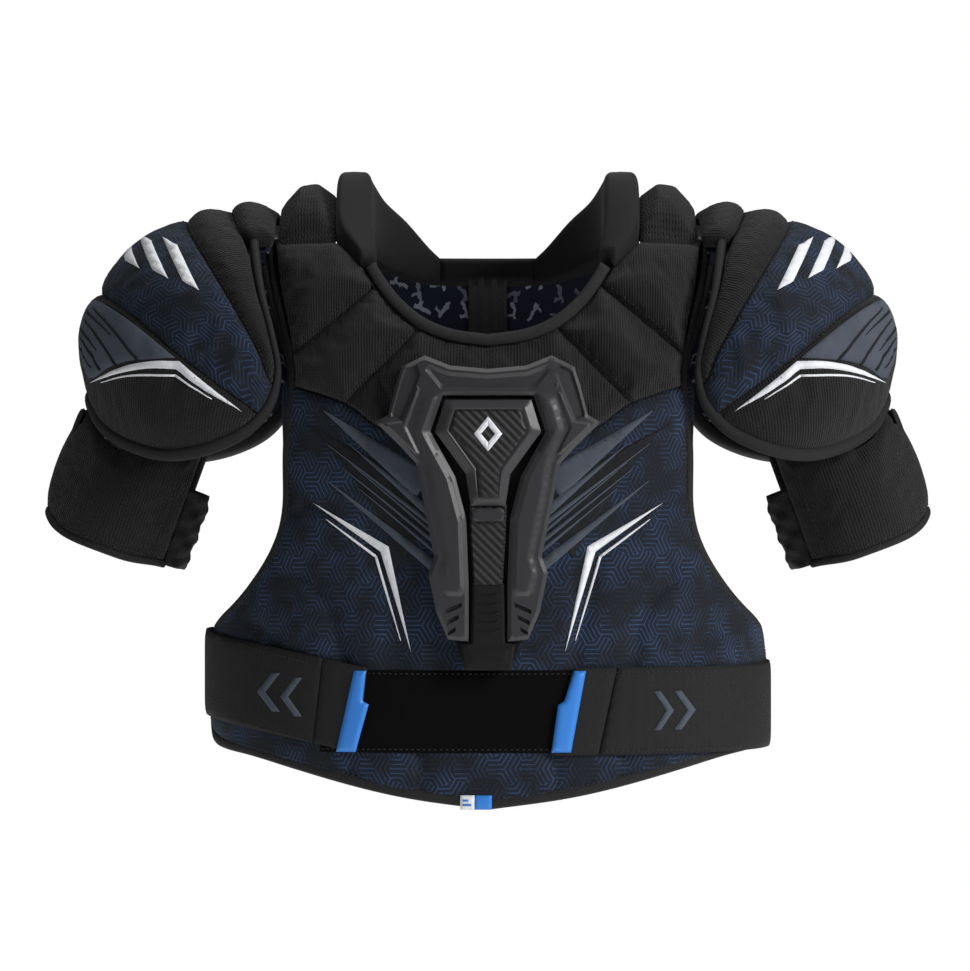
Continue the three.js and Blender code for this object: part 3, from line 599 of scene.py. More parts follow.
clavicle = pad_loop(
    between(neck_low, upper_in, neck_low[-1]), [neck_low[-1], (96, -15), (104, PAD_TOP)],
    [(104, PAD_TOP), (144, PAD_TOP)],
    between(arm_side, arm_side[0], upper_out), between([upper_in, *SEAM_UPPER[1:]], upper_out, upper_in),
)
upper_chest = pad_loop(
    between(neck_low, lower_in, upper_in), between([upper_in, *SEAM_UPPER[1:]], upper_in, upper_out),
    between(arm_side, upper_out, chest_corner), between(CHEST_LINE, chest_corner, lower_out),
    between([lower_in, *SEAM_LOWER[1:]], lower_out, lower_in),
)
chest_pads = []
for side, sign in SIDES.items():
    for label, outline in (("clavicle", clavicle), ("chest", upper_chest)):
        pad = quilt(
            f"{side}_{label}_cushion", mirrored(outline, sign), "front", black_knit, "black_knit",
            low=2, edge=10, high=19.5, roll=6.5, pitch=3.0,
        )
        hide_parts(f"{side}_{label}_pad")
        chest_pads.append(pad)
half_neck = between(neck_low, neck_low[0], lower_in)
half_seam = between([lower_in, *SEAM_LOWER[1:]], lower_in, lower_out)
half_chest = between(CHEST_LINE, lower_out, CHEST_LINE[0])
centre = loop_of(
    on_girth(half_neck), on_girth(half_seam), on_girth(half_chest), mirrored(on_girth(half_chest))[::-1],
    mirrored(on_girth(half_seam))[::-1], mirrored(on_girth(half_neck))[::-1], step=2.8,
)
centre_pad = quilt(
    "centre_chest_cushion", centre, "front", black_knit, "black_knit", low=2, edge=10, high=17.5, roll=6.5,
    pitch=3.0
)
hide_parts("centre_chest_pad")
swell([*chest_pads, centre_pad], cap=3.0)


# ---- Prints on the front panel: speed lines in slate, and a white chevron with a thin second line ----
# They are printed on the same cloth, so each lies on the panel as a film of ink, with the weave showing
# through.

def over_surface(pieces):
    """The upper skin of some pieces, to lay prints and stitches on."""
    points, faces = [], []
    for piece in pieces:
        start = len(points)
        points += [v.co.copy() for v in piece.data.vertices]
        faces += [[start + i for i in face.vertices] for face in piece.data.polygons]
    return BVHTree.FromPolygons(points, faces)


def settle(flat, skin, place, high=26, low=0, **kind):
    """Where points of the flat pattern meet the skin, in millimetres, and the way outward there."""
    flat = np.asarray(flat, float)
    outer = place(flat, np.full(len(flat), float(high)), **kind) * MM
    inner = place(flat, np.full(len(flat), float(low)), **kind) * MM
    found, ways = [], []
    for start, end in zip(outer, inner):
        way = Vector(end - start).normalized()
        hit = skin.ray_cast(Vector(start), way, (Vector(end) - Vector(start)).length)
        found.append(hit[0] if hit[0] else skin.find_nearest((Vector(start) + Vector(end)) / 2)[0])
        ways.append(-way)
    return np.array(found) / MM, np.array(ways)


def ink(name, outlines, skin, finish, body, slot, place=torso, lift=0.4, sunk=0.35, pitch=3.2, **kind):
    """Closed thin films laid on a skin, one for each outline of the flat pattern."""
    points, faces = [], []
    for outline in outlines:
        flat, triangles = fill(outline, (), pitch)
        at, way = settle(flat, skin, place, **kind)
        some, skin_faces = closed_sheet(flat, triangles, at + way * lift, at - way * sunk)
        faces += [tuple(int(i) + len(points) for i in face) for face in skin_faces]
        points += list(some)
    piece = mesh_piece(name, points, faces, finish, body)
    face_outward(piece)
    return piece


def straight(points, step=2.2):
    """A closed outline with straight sides."""
    points = np.asarray(points, float)
    return np.vstack([resample([a, b], step)[:-1] for a, b in zip(points, np.roll(points, -1, axis=0))])


def taper(points, widths, step=3.0):
    """A closed outline round a smooth line whose width changes from end to end."""
    middle = curve(points, step)
    along = np.gradient(middle, axis=0)
    along /= np.linalg.norm(along, axis=1, keepdims=True)
    across = np.column_stack([-along[:, 1], along[:, 0]])
    half = np.interp(np.linspace(0, 1, len(middle)), np.linspace(0, 1, len(widths)), widths)[:, None] / 2
    return np.vstack([middle + across * half, (middle - across * half)[::-1]])


# Sublimation ink on polyester: slate grey, a little lighter where the print is fresh, flat in its gloss.
slate_ink, slate_tree, slate_surface = material(
    "slate_ink_on_polyester", Roughness=0.82, Specular_IOR_Level=0.2
)
_, slate_place = weave_bump(slate_tree, slate_surface, 1.5, 0.12, 0.4)
slate_worn = node(
    slate_tree, "ShaderNodeTexNoise", inputs={"Vector": slate_place, "Scale": 0.05, "Detail": 5.0}
)
slate_tint = node(
    slate_tree, "ShaderNodeMix", {"data_type": "RGBA"},
    {"Factor": slate_worn.outputs["Fac"], 6: linear("#363b45"), 7: linear("#4a4f59")},
)
slate_tree.links.new(slate_tint.outputs[2], slate_surface.inputs["Base Color"])

# Screen-printed plastisol: near-white, smooth beside the cloth, with the weave telegraphing through.
white_ink, white_tree, white_surface = material("white_plastisol_ink", Roughness=0.55, Specular_IOR_Level=0.4)
_, white_place = weave_bump(white_tree, white_surface, 1.2, 0.08, 0.3)
white_worn = node(
    white_tree, "ShaderNodeTexNoise", inputs={"Vector": white_place, "Scale": 0.3, "Detail": 4.0}
)
white_tint = node(
    white_tree, "ShaderNodeMix", {"data_type": "RGBA"},
    {"Factor": white_worn.outputs["Fac"], 6: linear("#bfc1c6"), 7: linear("#dcdde1")},
)
white_tree.links.new(white_tint.outputs[2], white_surface.inputs["Base Color"])

# Black ground printed between the speed lines: the cloth's own weave, with no figure on it.
black_print, black_tree, black_surface = material(
    "black_printed_polyester", Roughness=0.8, Specular_IOR_Level=0.2
)
black_height, _ = weave_bump(black_tree, black_surface, 1.5, 0.12, 0.45)
# Its colour is painted darker in the weave's hollows and lighter on the raised threads, as painted shade and
# light.
black_weave_shading = node(
    black_tree, "ShaderNodeMix", {"data_type": "RGBA"},
    {"Factor": black_height, 6: linear("#0d0e11"), 7: linear("#17181c")}
)
black_tree.links.new(black_weave_shading.outputs[2], black_surface.inputs["Base Color"])

SPEED_LINES = [
    ([(110, -124), (42, -174)], (0.5, 10, 20)), ([(93, -146), (38, -192)], (0.5, 3, 7)),
    ([(108, -146), (36, -200.5)], (0.4, 1.6, 3.8)), ([(92, -159), (35, -206.5)], (0.4, 1.2, 2.6)),
    ([(96, -163), (34, -212.5)], (0.4, 1.4, 3.2)), ([(86, -176), (34, -218.5)], (0.4, 1.4, 2.8)),
    ([(107, -171), (33, -229.5)], (0.5, 4, 8)),
]
front_skin = over_surface([front_panel])
BLACK_WEDGE = [([(114, -137), (38, -201)], (0.6, 22, 56)), ([(122, -133), (44, -178)], (0.5, 4, 12))]
CHEVRON = [(117, -185.5), (66, -214.5), (51, -285), (71.4, -218)]
CHEVRON_SECOND = [
    ([(108, -196.5), (74.6, -221.2)], (0.5, 1.5, 1.8)), ([(74.6, -221.2), (58, -277)], (1.8, 1.5, 0.5))
]
for side, sign in SIDES.items():
    lines = [mirrored(on_girth(taper(line, widths)), sign) for line, widths in SPEED_LINES]
    wedge = [mirrored(on_girth(taper(line, widths)), sign) for line, widths in BLACK_WEDGE]
    ground_ink = ink(f"{side}_speed_ground", wedge, front_skin, black_print, "front", "navy_print")
    ink(
        f"{side}_speed_lines", lines, over_surface([front_panel, ground_ink]), slate_ink, "front",
        "navy_print",
    )
    marks = [straight(CHEVRON)] + [taper(line, widths) for line, widths in CHEVRON_SECOND]
    ink(
        f"{side}_vest_chevron", [mirrored(on_girth(mark), sign) for mark in marks], front_skin, white_ink,
        "front", "navy_print", lift=0.75,
    )


# ---- Stitching: bonded nylon thread, in lock-stitch rows about 4 mm to a stitch ----
# Each stitch is its own short, tapered lay of thread, half sunk in the cloth.

STITCH, STITCH_GAP, THREAD = 2.6, 1.3, 0.8
thread_nylon, thread_tree, thread_surface = material(
    "bonded_nylon_thread", Roughness=0.5, Specular_IOR_Level=0.4
)
twist = node(thread_tree, "ShaderNodeTexNoise", inputs={"Scale": 900.0, "Detail": 2.0})
thread_tint = node(
    thread_tree, "ShaderNodeMix", {"data_type": "RGBA"},
    {"Factor": twist.outputs["Fac"], 6: linear("#0d0d0e"), 7: linear("#222224")}
)
thread_tree.links.new(thread_tint.outputs[2], thread_surface.inputs["Base Color"])


def stitches(name, lines, skin, body, slot, place=torso, finish=thread_nylon, **kind):
    """Rows of stitches along smooth lines of the flat pattern, laid on a skin."""
    points, faces = [], []
    for line in lines:
        path = resample(line, STITCH + STITCH_GAP)
        if len(path) < 3:
            continue
        along = np.gradient(path, axis=0)
        along /= np.linalg.norm(along, axis=1, keepdims=True)
        ends, ways = settle(
            np.vstack([path - along * STITCH / 2, path + along * STITCH / 2]), skin, place, **kind
        )
        for a, b, way in zip(ends[: len(path)], ends[len(path) :], ways[: len(path)]):
            run = b - a
            side_way = np.cross(run, way)
            side_way *= THREAD / 2 / max(np.linalg.norm(side_way), 1e-9)
            up = way * THREAD / 2
            base = len(points)
            points += [a - up, b - up]
            for t in (0.2, 0.8):
                middle = a + run * t
                points += [middle + side_way, middle + 1.2 * up, middle - side_way, middle - up]
            for k in range(4):
                n = (k + 1) % 4
                faces += [
                    (base, base + 2 + k, base + 2 + n), (base + 1, base + 6 + n, base + 6 + k),
                    (base + 2 + k, base + 6 + k, base + 6 + n, base + 2 + n),
                ]
    piece = mesh_piece(name, points, faces, finish, body)
    face_outward(piece)
    return piece


def beside(line, distance):
    """The same line, moved sideways."""
    along = np.gradient(line, axis=0)
    along /= np.linalg.norm(along, axis=1, keepdims=True)
    return line + np.column_stack([-along[:, 1], along[:, 0]]) * distance


stitches("vest_quilting_stitches", front_seams, front_skin, "front", "navy_print")
chest_skin = over_surface([*chest_pads, centre_pad, front_panel])
chest_rows = []
SEAM_TO_STITCH = 3.4
for sign in SIDES.values():
    for inner, line, outer in ((upper_in, SEAM_UPPER, upper_out), (lower_in, SEAM_LOWER, lower_out)):
        row = curve(on_girth([inner, *line[1:-1], outer]))
        chest_rows.append(mirrored(beside(row, SEAM_TO_STITCH), sign))
    chest_rows.append(mirrored(beside(curve(on_girth(CHEST_LINE)), -2.2), sign))
stitches("chest_pad_stitches", chest_rows, chest_skin, "front", "black_knit")


# ---- Bindings of the front vest: 8 mm folded polyester tape round every raw edge ----
# The neck's binding is a padded roll, and stands as high as the chest pads beside it.

# Folded grosgrain tape: near-black with fine ribs across it and a slight shine on the fold.
binding_tape, tape_tree, tape_surface = material(
    "folded_grosgrain_tape", Roughness=0.7, Specular_IOR_Level=0.3
)
tape_height, _ = weave_bump(tape_tree, tape_surface, 1.3, 0.2, 0.6, (1, 1, 1.6))
# The ribs' crowns are painted lighter and the hollows between them darker, as painted light and shade.
tape_rib_shading = node(
    tape_tree, "ShaderNodeMix", {"data_type": "RGBA"},
    {"Factor": tape_height, 6: linear("#09090a"), 7: linear("#171617")}
)
tape_tree.links.new(tape_rib_shading.outputs[2], tape_surface.inputs["Base Color"])

SECTION_STEPS = 16


def ribbon(name, line, width, low, high, finish, body, slot, place=torso, fullness=0.6, closed=False, **kind):
    """A tape or roll along a line of the flat pattern, rounded across, with closed ends."""
    along = np.gradient(line, axis=0)
    if closed:
        along = np.roll(line, -1, axis=0) - np.roll(line, 1, axis=0)
    along /= np.maximum(np.linalg.norm(along, axis=1, keepdims=True), 1e-9)
    across = np.column_stack([-along[:, 1], along[:, 0]])
    rings = []
    for k in range(SECTION_STEPS):
        turn = 2 * math.pi * k / SECTION_STEPS
        sideways = math.copysign(abs(math.cos(turn)) ** fullness, math.cos(turn)) * width / 2
        upward = math.copysign(abs(math.sin(turn)) ** fullness, math.sin(turn))
        out = np.full(len(line), (low + high) / 2 + upward * (high - low) / 2)
        rings.append(place(line + across * sideways, out, **kind))
    points = np.stack(rings, 1).reshape(-1, 3)
    faces = []
    count = len(line)
    for i in range(count if closed else count - 1):
        for k in range(SECTION_STEPS):
            a, b = i * SECTION_STEPS, (i + 1) % count * SECTION_STEPS
            n = (k + 1) % SECTION_STEPS
            faces.append((a + k, b + k, b + n, a + n))
    if not closed:
        faces += [tuple(range(SECTION_STEPS)), tuple(range(len(points) - SECTION_STEPS, len(points)))[::-1]]
    piece = mesh_piece(name, points, faces, finish, body)
    face_outward(piece)
    return piece


half_neckline = curve(on_girth(NECK), 3)
neckline = np.vstack([mirrored(half_neckline)[:0:-1], half_neckline])
neck_roll = ribbon(
    "neck_binding_roll", beside(neckline, -BINDING / 2), BINDING + 0.8, -0.6, 13.6, binding_tape, "front",
    "binding", fullness=0.45,
)
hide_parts("neck_binding")

ARM_TOP = [(152.4, PAD_TOP), (146.4, -42), (139.4, -70), (134.4, -98)]
arm_edge = np.vstack([curve(on_girth(ARM_TOP + SIDE_EDGE[1:])), curve(on_girth([SIDE_EDGE[-1], *WAIST]))[1:]])
hem_edge = curve(on_girth([WAIST[-1], (186, -350), *[(x, z - 0.4) for x, z in HEM[1:]]]))
half_edge = np.vstack([arm_edge, hem_edge[1:]])
front_edge_line = np.vstack([half_edge, mirrored(half_edge)[-2::-1]])
front_tape = ribbon(
    "front_edge_tape", beside(front_edge_line, -BINDING / 2 + 0.6), BINDING, -0.6, 10, binding_tape,
    "front", "binding"
)
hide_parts("front_edge_binding")
stitches(
    "front_edge_stitches", [beside(front_edge_line, -BINDING + 1.4)], over_surface([front_tape, front_panel]),
    "front", "binding",
)


# ---- Sternum guard: a moulded polypropylene frame on an EVA foam bed, riveted through the centre pad ----
# The frame has raised rails beside a deep groove, two swept wings and vent slots. A shield, a channel strip
# and a lower tongue lie in it.

def inset(loop, distance):
    """A closed outline moved inward, without the parts that would cross themselves."""
    along = np.roll(loop, -1, axis=0) - np.roll(loop, 1, axis=0)
    along /= np.maximum(np.linalg.norm(along, axis=1, keepdims=True), 1e-9)
    area = np.sum(loop[:, 0] * np.roll(loop[:, 1], -1) - np.roll(loop[:, 0], -1) * loop[:, 1])
    inward = np.column_stack([-along[:, 1], along[:, 0]]) * np.sign(area)
    moved = loop + inward * distance
    kept = moved[(distance_to(moved, loop, closed=True) > 0.93 * distance) & inside(moved, loop)]
    return np.vstack([kept, kept[:1]]) if len(kept) > 3 else np.empty((0, 2))


def both(half):
    """A symmetric outline from its left half, which starts and ends on the middle."""
    half = [tuple(p) for p in half]
    return half + [(-x, z) for x, z in half[::-1] if x > 0.01]


def relief(
    name, outline, features, low, high, bevel, drop, finish, body="front", pitch=2.4,
):
    """A moulded plate with a bevelled edge. Each feature (outline, rise, slope) lifts or sinks an area."""
    loop = straight(outline)
    lines = [inset(loop, bevel)]
    for shape, rise, slope in features:
        edge = straight(shape)
        lines += [np.vstack([edge, edge[:1]]), inset(edge, slope)]
    flat, faces = fill(loop, [line for line in lines if len(line) > 2], pitch)
    near = distance_to(flat, loop, closed=True)
    top = high - drop * (1 - np.clip(near / bevel, 0, 1))
    for shape, rise, slope in features:
        edge = straight(shape)
        within = np.where(inside(flat, edge), distance_to(flat, edge, closed=True), 0)
        top = top + rise * np.clip(within / slope, 0, 1)
    used, faces = np.unique(faces, return_inverse=True)
    faces, flat, top = faces.reshape(-1, 3), on_girth(flat[used]), top[used]
    points, skin = closed_sheet(flat, faces, torso(flat, top), torso(flat, np.full(len(flat), float(low))))
    piece = mesh_piece(name, points, skin, finish, body)
    face_outward(piece)
    piece.data.set_sharp_from_angle(angle=math.radians(28))
    return piece


# Moulded polypropylene: charcoal, a fine spark-eroded grain, satin where the rails are rubbed.
moulded_black, moulded_tree, moulded_surface = material(
    "moulded_polypropylene", Roughness=0.42, Specular_IOR_Level=0.5
)
grain = node(moulded_tree, "ShaderNodeTexNoise", inputs={"Scale": 1400.0, "Detail": 3.0, "Roughness": 0.6})
rubbed = node(moulded_tree, "ShaderNodeTexNoise", inputs={"Scale": 45.0, "Detail": 4.0})
moulded_tint = node(
    moulded_tree, "ShaderNodeMix", {"data_type": "RGBA"},
    {"Factor": rubbed.outputs["Fac"], 6: linear("#1e1e20"), 7: linear("#2d2d30")}
)
moulded_gloss = node(moulded_tree, "ShaderNodeMapRange", inputs={0: rubbed.outputs["Fac"], 3: 0.5, 4: 0.34})
moulded_bump = node(
    moulded_tree, "ShaderNodeBump",
    inputs={"Strength": 0.25, "Distance": 0.0001, "Height": grain.outputs["Fac"]},
)
for socket, result in (
    ("Base Color", moulded_tint.outputs[2]), ("Roughness", moulded_gloss.outputs[0]),
    ("Normal", moulded_bump.outputs[0]),
):
    moulded_tree.links.new(result, moulded_surface.inputs[socket])

# Twill-textured plastic: diagonal ribs about 4 mm apart, two over and two under, under a satin skin.
twill_look, twill_tree, twill_surface = material(
    "twill_textured_plastic", Roughness=0.45, Specular_IOR_Level=0.3, Coat_Weight=0.1, Coat_Roughness=0.2
)
twill_place = node(twill_tree, "ShaderNodeTexCoord")
TWILL_RIB, TWILL_THREAD = 4.2, 1.5
twill_waves = []
for way, pitch in (((1, 0, 1), TWILL_RIB), ((1, 0, -1), TWILL_THREAD)):
    turn_rate = tuple(2 * math.pi * k / (math.sqrt(2) * pitch * MM) for k in way)
    phase = node(
        twill_tree, "ShaderNodeVectorMath", {"operation": "DOT_PRODUCT"},
        {0: twill_place.outputs["Object"], 1: turn_rate},
    )
    twill_waves.append(node(twill_tree, "ShaderNodeMath", {"operation": "SINE"}, {0: phase.outputs["Value"]}))
twill_height = node(
    twill_tree, "ShaderNodeMath", {"operation": "MULTIPLY_ADD"},
    {0: twill_waves[1].outputs[0], 1: 0.3, 2: twill_waves[0].outputs[0]},
)
twill_shade = node(twill_tree, "ShaderNodeMapRange", inputs={0: twill_height.outputs[0], 1: -0.1, 2: 1.25})
# The ribs' crowns are painted lighter and their hollows near-black: painted light and shade across the twill.
twill_tint = node(
    twill_tree, "ShaderNodeMix", {"data_type": "RGBA"},
    {"Factor": twill_shade.outputs[0], 6: linear("#040405"), 7: linear("#232326")},
)
twill_bump = node(
    twill_tree, "ShaderNodeBump",
    inputs={"Strength": 0.8, "Distance": 0.0005, "Height": twill_height.outputs[0]},
)
twill_tree.links.new(twill_tint.outputs[2], twill_surface.inputs["Base Color"])
twill_tree.links.new(twill_bump.outputs[0], twill_surface.inputs["Normal"])

PLATE = [
    (0, -97), (25, -94.8), (42, -88), (57, -95.5), (61, -108), (66, -127.5), (74.5, -132), (58, -148),
    (47.5, -159.5), (44, -178), (35.5, -221), (39.5, -232), (34, -258), (26.5, -275.5), (12.8, -277),
]
OPENING = [(30, -114.5), (38, -138.5), (21.7, -168), (14.4, -196), (12.8, -240), (12.8, -276.9)]
right_half = PLATE + OPENING[::-1] + [(0, -114.5)]
left_wing = [(47, -93.5), (55.6, -97.5), (59.5, -110), (64.5, -128.6), (57, -131), (50.5, -116), (44.5, -101)]
rail = [
    (31.8, -112.8), (43.7, -115.5), (50, -136.5), (41, -160), (38, -180), (29.5, -221), (32.5, -232),
    (28.5, -247), (15.5, -247), (15.5, -240), (17, -197), (24.6, -168.5), (40.8, -138.5),
]
crease = [
    (44.5, -101), (50.5, -116), (57, -131), (70, -132.8), (48, -154), (45, -153), (53.5, -135.5),
    (46, -114.5), (41.5, -99),
]
vents = [
    [
        (17.2 + 2 * i, -251 - 8 * i), (28.5 - i, -256 - 7.2 * i), (28.5 - i, -259 - 7.2 * i),
        (17.2 + 2 * i, -254 - 8 * i),
    ]
    for i in range(3)
]
frame_outline = right_half + [(-x, z) for x, z in right_half[::-1] if x > 0.01]
frame_features = []
for sign in (1, -1):
    for shape, rise, slope in (
        (left_wing, -2.2, 1.4), (rail, 1.6, 3.0), (crease, 1.5, 1.8), *[(vent, -3, 0.9) for vent in vents]
    ):
        frame_features.append(([(sign * x, z) for x, z in shape], rise, slope))
brow = both([(0, -101), (26, -99), (40, -93.5), (41.5, -98), (31, -111), (0, -111)])
frame_features.append((brow, -1.6, 2.6))
frame_plate = relief(
    "sternum_frame_moulding", frame_outline, frame_features, 20.6, 26.4, 2.6, 2.0, moulded_black, pitch=2.0
)
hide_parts("sternum_plate")

SHIELD = [(0, -117.4), (28.4, -117.4), (35, -138.6), (14.6, -166.5), (11.4, -187.5), (0, -187.5)]
SHIELD_FACE = [(0, -123), (22.5, -123), (27, -137.8), (8.8, -163), (7.2, -183), (0, -183)]
shield = relief(
    "sternum_shield_moulding", both(SHIELD), [(both(SHIELD_FACE), -0.5, 0.7)], 22, 29, 5.6, 3.4,
    moulded_black,
)
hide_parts("sternum_shield")
shield_skin = over_surface([shield])
shield_twill = ink(
    "shield_twill_panel",
    [
        on_girth(
            straight(both([(0, -124), (21.5, -124), (25.8, -137.6), (8, -162.6), (6.4, -182), (0, -182)]))
        )
    ],
    shield_skin, twill_look, "front", "carbon_look", high=40, low=21, lift=0.25,
)
DIAMOND = [(0, -128.5), (9.4, -140), (0, -151.5), (-9.4, -140)]
diamond_sides = [
    np.vstack([resample([DIAMOND[i], DIAMOND[(i + 1) % 4]], 1.5), resample([h1, h0], 1.5)])
    for i, (h0, h1) in enumerate([
        ((0, -134.5), (4.6, -140)), ((4.6, -140), (0, -145.5)), ((0, -145.5), (-4.6, -140)),
        ((-4.6, -140), (0, -134.5))
    ])
]
ink(
    "shield_diamond", [on_girth(side_shape) for side_shape in diamond_sides],
    over_surface([shield, shield_twill]),
    white_ink, "front", "moulded", high=40, low=21, pitch=1.6, lift=0.45,
)

CHANNEL = [(0, -186.5), (12.4, -186.5), (11.6, -210), (9.6, -240.5), (0, -240.5)]
channel = relief(
    "sternum_channel_moulding", both(CHANNEL), [], 22, 24.4, 1.2, 0.9, twill_look,
    pitch=1.8,
)
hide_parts("sternum_channel_strip")
relief(
    "sternum_cross_clip",
    both([(0, -188.8), (8.4, -188.8), (10.6, -190.6), (10.6, -195.6), (8.2, -197.6), (0, -197.6)]), [],
    24, 28.2, 1.0, 1.2, moulded_black, pitch=1.4,
)

# Thermoplastic rubber of the tongue: matt black, and painted darker than its own black, as the shade of a
# slot between the frame's legs.
tongue_rubber_and_slot_shade, rubber_black_tree, rubber_black_surface = material(
    "matt_black_rubber_and_slot_shade", Roughness=0.7, Specular_IOR_Level=0.2
)
bloom = node(rubber_black_tree, "ShaderNodeTexNoise", inputs={"Scale": 60.0, "Detail": 4.0})
# The rubber's black with a faint bloom, painted darker still as the slot's shade.
tongue_black_and_shade_tint = node(
    rubber_black_tree, "ShaderNodeMix", {"data_type": "RGBA"},
    {"Factor": bloom.outputs["Fac"], 6: linear("#070708"), 7: linear("#101011")},
)
rubber_black_tree.links.new(tongue_black_and_shade_tint.outputs[2], rubber_black_surface.inputs["Base Color"])

TONGUE = [(0, -238.5), (10.6, -238.5), (11.4, -277.5), (18, -279), (15.5, -296), (0, -296)]
tongue_ribs = [
    both([(0, z), (7.6, z + 1.2), (7.6, z - 1), (0, z - 2.2)]) for z in np.arange(-246, -272, -6.0)
]
tongue_foot = both([(0, -281), (14.4, -281), (12.6, -293), (0, -293)])
tongue = relief(
    "sternum_tongue_moulding", both(TONGUE),
    [*[(r, 0.8, 0.9) for r in tongue_ribs], (tongue_foot, 0.7, 1.4)], 18.4, 25, 1.8, 1.5, tongue_rubber_and_slot_shade,
)
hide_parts("sternum_tongue")


# ---- Back vest: a navy printed panel over 6 mm foam, quilted and bound like the front ----
# Black pads lie on it over the spine, the shoulder blades and the small of the back.

BACK_TOP = [(0, -29), (36, -29), (50, -27), (72, -21), (92, -16), (103, -10), (134, -9)]
ARM_BACK = [
    (133, -42), (130, -70), (129, -97), (130, -122), (131, -150), (132, -190), (139, -215), (152, -238),
    (166, -256), (181, -271),
]
BACK_SIDE = [(186.5, -292), (187, -334)]
BACK_BOTTOM = [(180, -343), (0, -343.5)]
back_half = [on_girth(BACK_TOP), on_girth(ARM_BACK), on_girth(BACK_SIDE), on_girth(BACK_BOTTOM)]
back_loop = loop_of(
    back_half[0], [back_half[0][-1], *back_half[1]], [back_half[1][-1], *back_half[2]],
    [back_half[2][-1], back_half[3][0]],
    back_half[3], mirrored(back_half[3])[::-1], [mirrored(back_half[3])[0], mirrored(back_half[2])[-1]],
    [*mirrored(back_half[2])[::-1], mirrored(back_half[1])[-1]],
    [*mirrored(back_half[1])[::-1], mirrored(back_half[0])[-1]], mirrored(back_half[0])[::-1],
)
BACK_SEAMS = [
    [(126, -225), (100, -232), (72, -252), (48, -268)], [(168, -285), (140, -300), (124, -318)],
    [(128, -200), (112, -208), (98, -222)],
]
back_seams = [curve(on_girth(mirrored(seam, sign))) for seam in BACK_SEAMS for sign in (1, -1)]
back_panel = quilt(
    "quilted_back_panel", back_loop, "back", navy_print, "navy_print", back_seams, low=2, edge=7.5,
    high=10.5, roll=9, dip=0.8, side=1,
)
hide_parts("back_panel")
SPINE = [(0, -50), (22, -50), (30, -72), (26, -160), (24, -238), (17, -258), (0, -258)]
BLADE = [
    (42, -42), (70, -30), (104, -21), (130, -20), (129, -45), (122, -96), (120, -150), (101, -193),
    (62, -210), (37, -194), (42, -72),
]
LUMBAR = [(0, -276), (60, -272), (114, -280), (120, -300), (112, -332), (0, -336)]
spine_rows = [np.array([(-25, z - 6), (0, z), (25, z - 6)]) for z in (-92, -132, -172, -212)]
spine = quilt(
    "spine_cushion", on_girth(straight(both(SPINE), 3)), "back", black_knit, "black_knit",
    [curve(r) for r in spine_rows], low=8.4, edge=13, high=23.5, roll=7, side=1,
)
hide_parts("spine_pad")
lumbar_rows = [curve(on_girth([(x, -275), (x * 0.95, -334)])) for x in (-62, -22, 22, 62)]
lumbar = quilt(
    "lumbar_cushion", on_girth(straight(both(LUMBAR), 3)), "back", black_knit, "black_knit", lumbar_rows,
    low=8.4, edge=11, high=17.5, roll=6, side=1,
)
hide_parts("lumbar_pad")
back_pads = [spine, lumbar]
for side, sign in SIDES.items():
    rows = [
        curve(on_girth(mirrored(r, sign)))
        for r in ([(38, -80), (80, -74), (127, -62)], [(37, -136), (80, -134), (122, -124)])
    ]
    blade = quilt(
        f"{side}_blade_cushion", mirrored(on_girth(straight(BLADE, 3)), sign), "back", black_knit,
        "black_knit", rows, low=8.4, edge=12, high=20.5, roll=7, side=1,
    )
    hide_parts(f"{side}_blade_pad")
    back_pads.append(blade)
swell([back_panel], cap=0.6)
swell(back_pads, cap=2.5)
stitches("back_quilting_stitches", back_seams, over_surface([back_panel]), "back", "navy_print", side=1)

back_arm = [
    (152.4, -7), (146.4, -42), (139.4, -70), (134.4, -98), (137, -122), (138, -190), (145, -215),
    (158, -237), (172, -254), (186, -269),
]
back_edge_half = np.vstack([
    curve(on_girth(back_arm)), curve(on_girth([back_arm[-1], (189.9, -292), (189.93, -334)]))[1:],
    curve(on_girth([(189.93, -334), (184, -347), (172, -349.5)]))[1:],
    curve(on_girth([(172, -349.5), (0, -349.5)]))[1:],
])
back_edge_line = np.vstack([back_edge_half, mirrored(back_edge_half)[-2::-1]])
back_tape = ribbon(
    "back_edge_tape", beside(back_edge_line, -BINDING / 2 + 0.6), BINDING, -0.6, 9.6, binding_tape, "back",
    "binding", side=1,
)
neck_back_half = curve(
    on_girth([(0, -23.5), (36, -23.5), (50, -21.5), (72, -15.5), (92, -10.5), (101, -8.5)])
)
neck_back_line = np.vstack([mirrored(neck_back_half)[:0:-1], neck_back_half])
ribbon(
    "back_neck_tape", beside(neck_back_line, -BINDING / 2), BINDING, -0.6, 9.6, binding_tape, "back",
    "binding", side=1,
)
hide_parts("back_edge_binding")
stitches(
    "back_edge_stitches", [beside(back_edge_line, -BINDING + 1.4)], over_surface([back_tape, back_panel]),
    "back", "binding", side=1,
)


# ---- Linings: brushed navy polyester with a scattered grey print, laminated to the foam ----
# The back's lining is in two halves, joined by a black stretch gusset that opens with the chest.

lining_cloth, lining_tree, lining_surface = material(
    "printed_brushed_lining", Roughness=0.85, Specular_IOR_Level=0.2
)
weave_bump(lining_tree, lining_surface, 1.4, 0.1, 0.35)
lining_flat = node(lining_tree, "ShaderNodeAttribute", {"attribute_name": "pattern"})
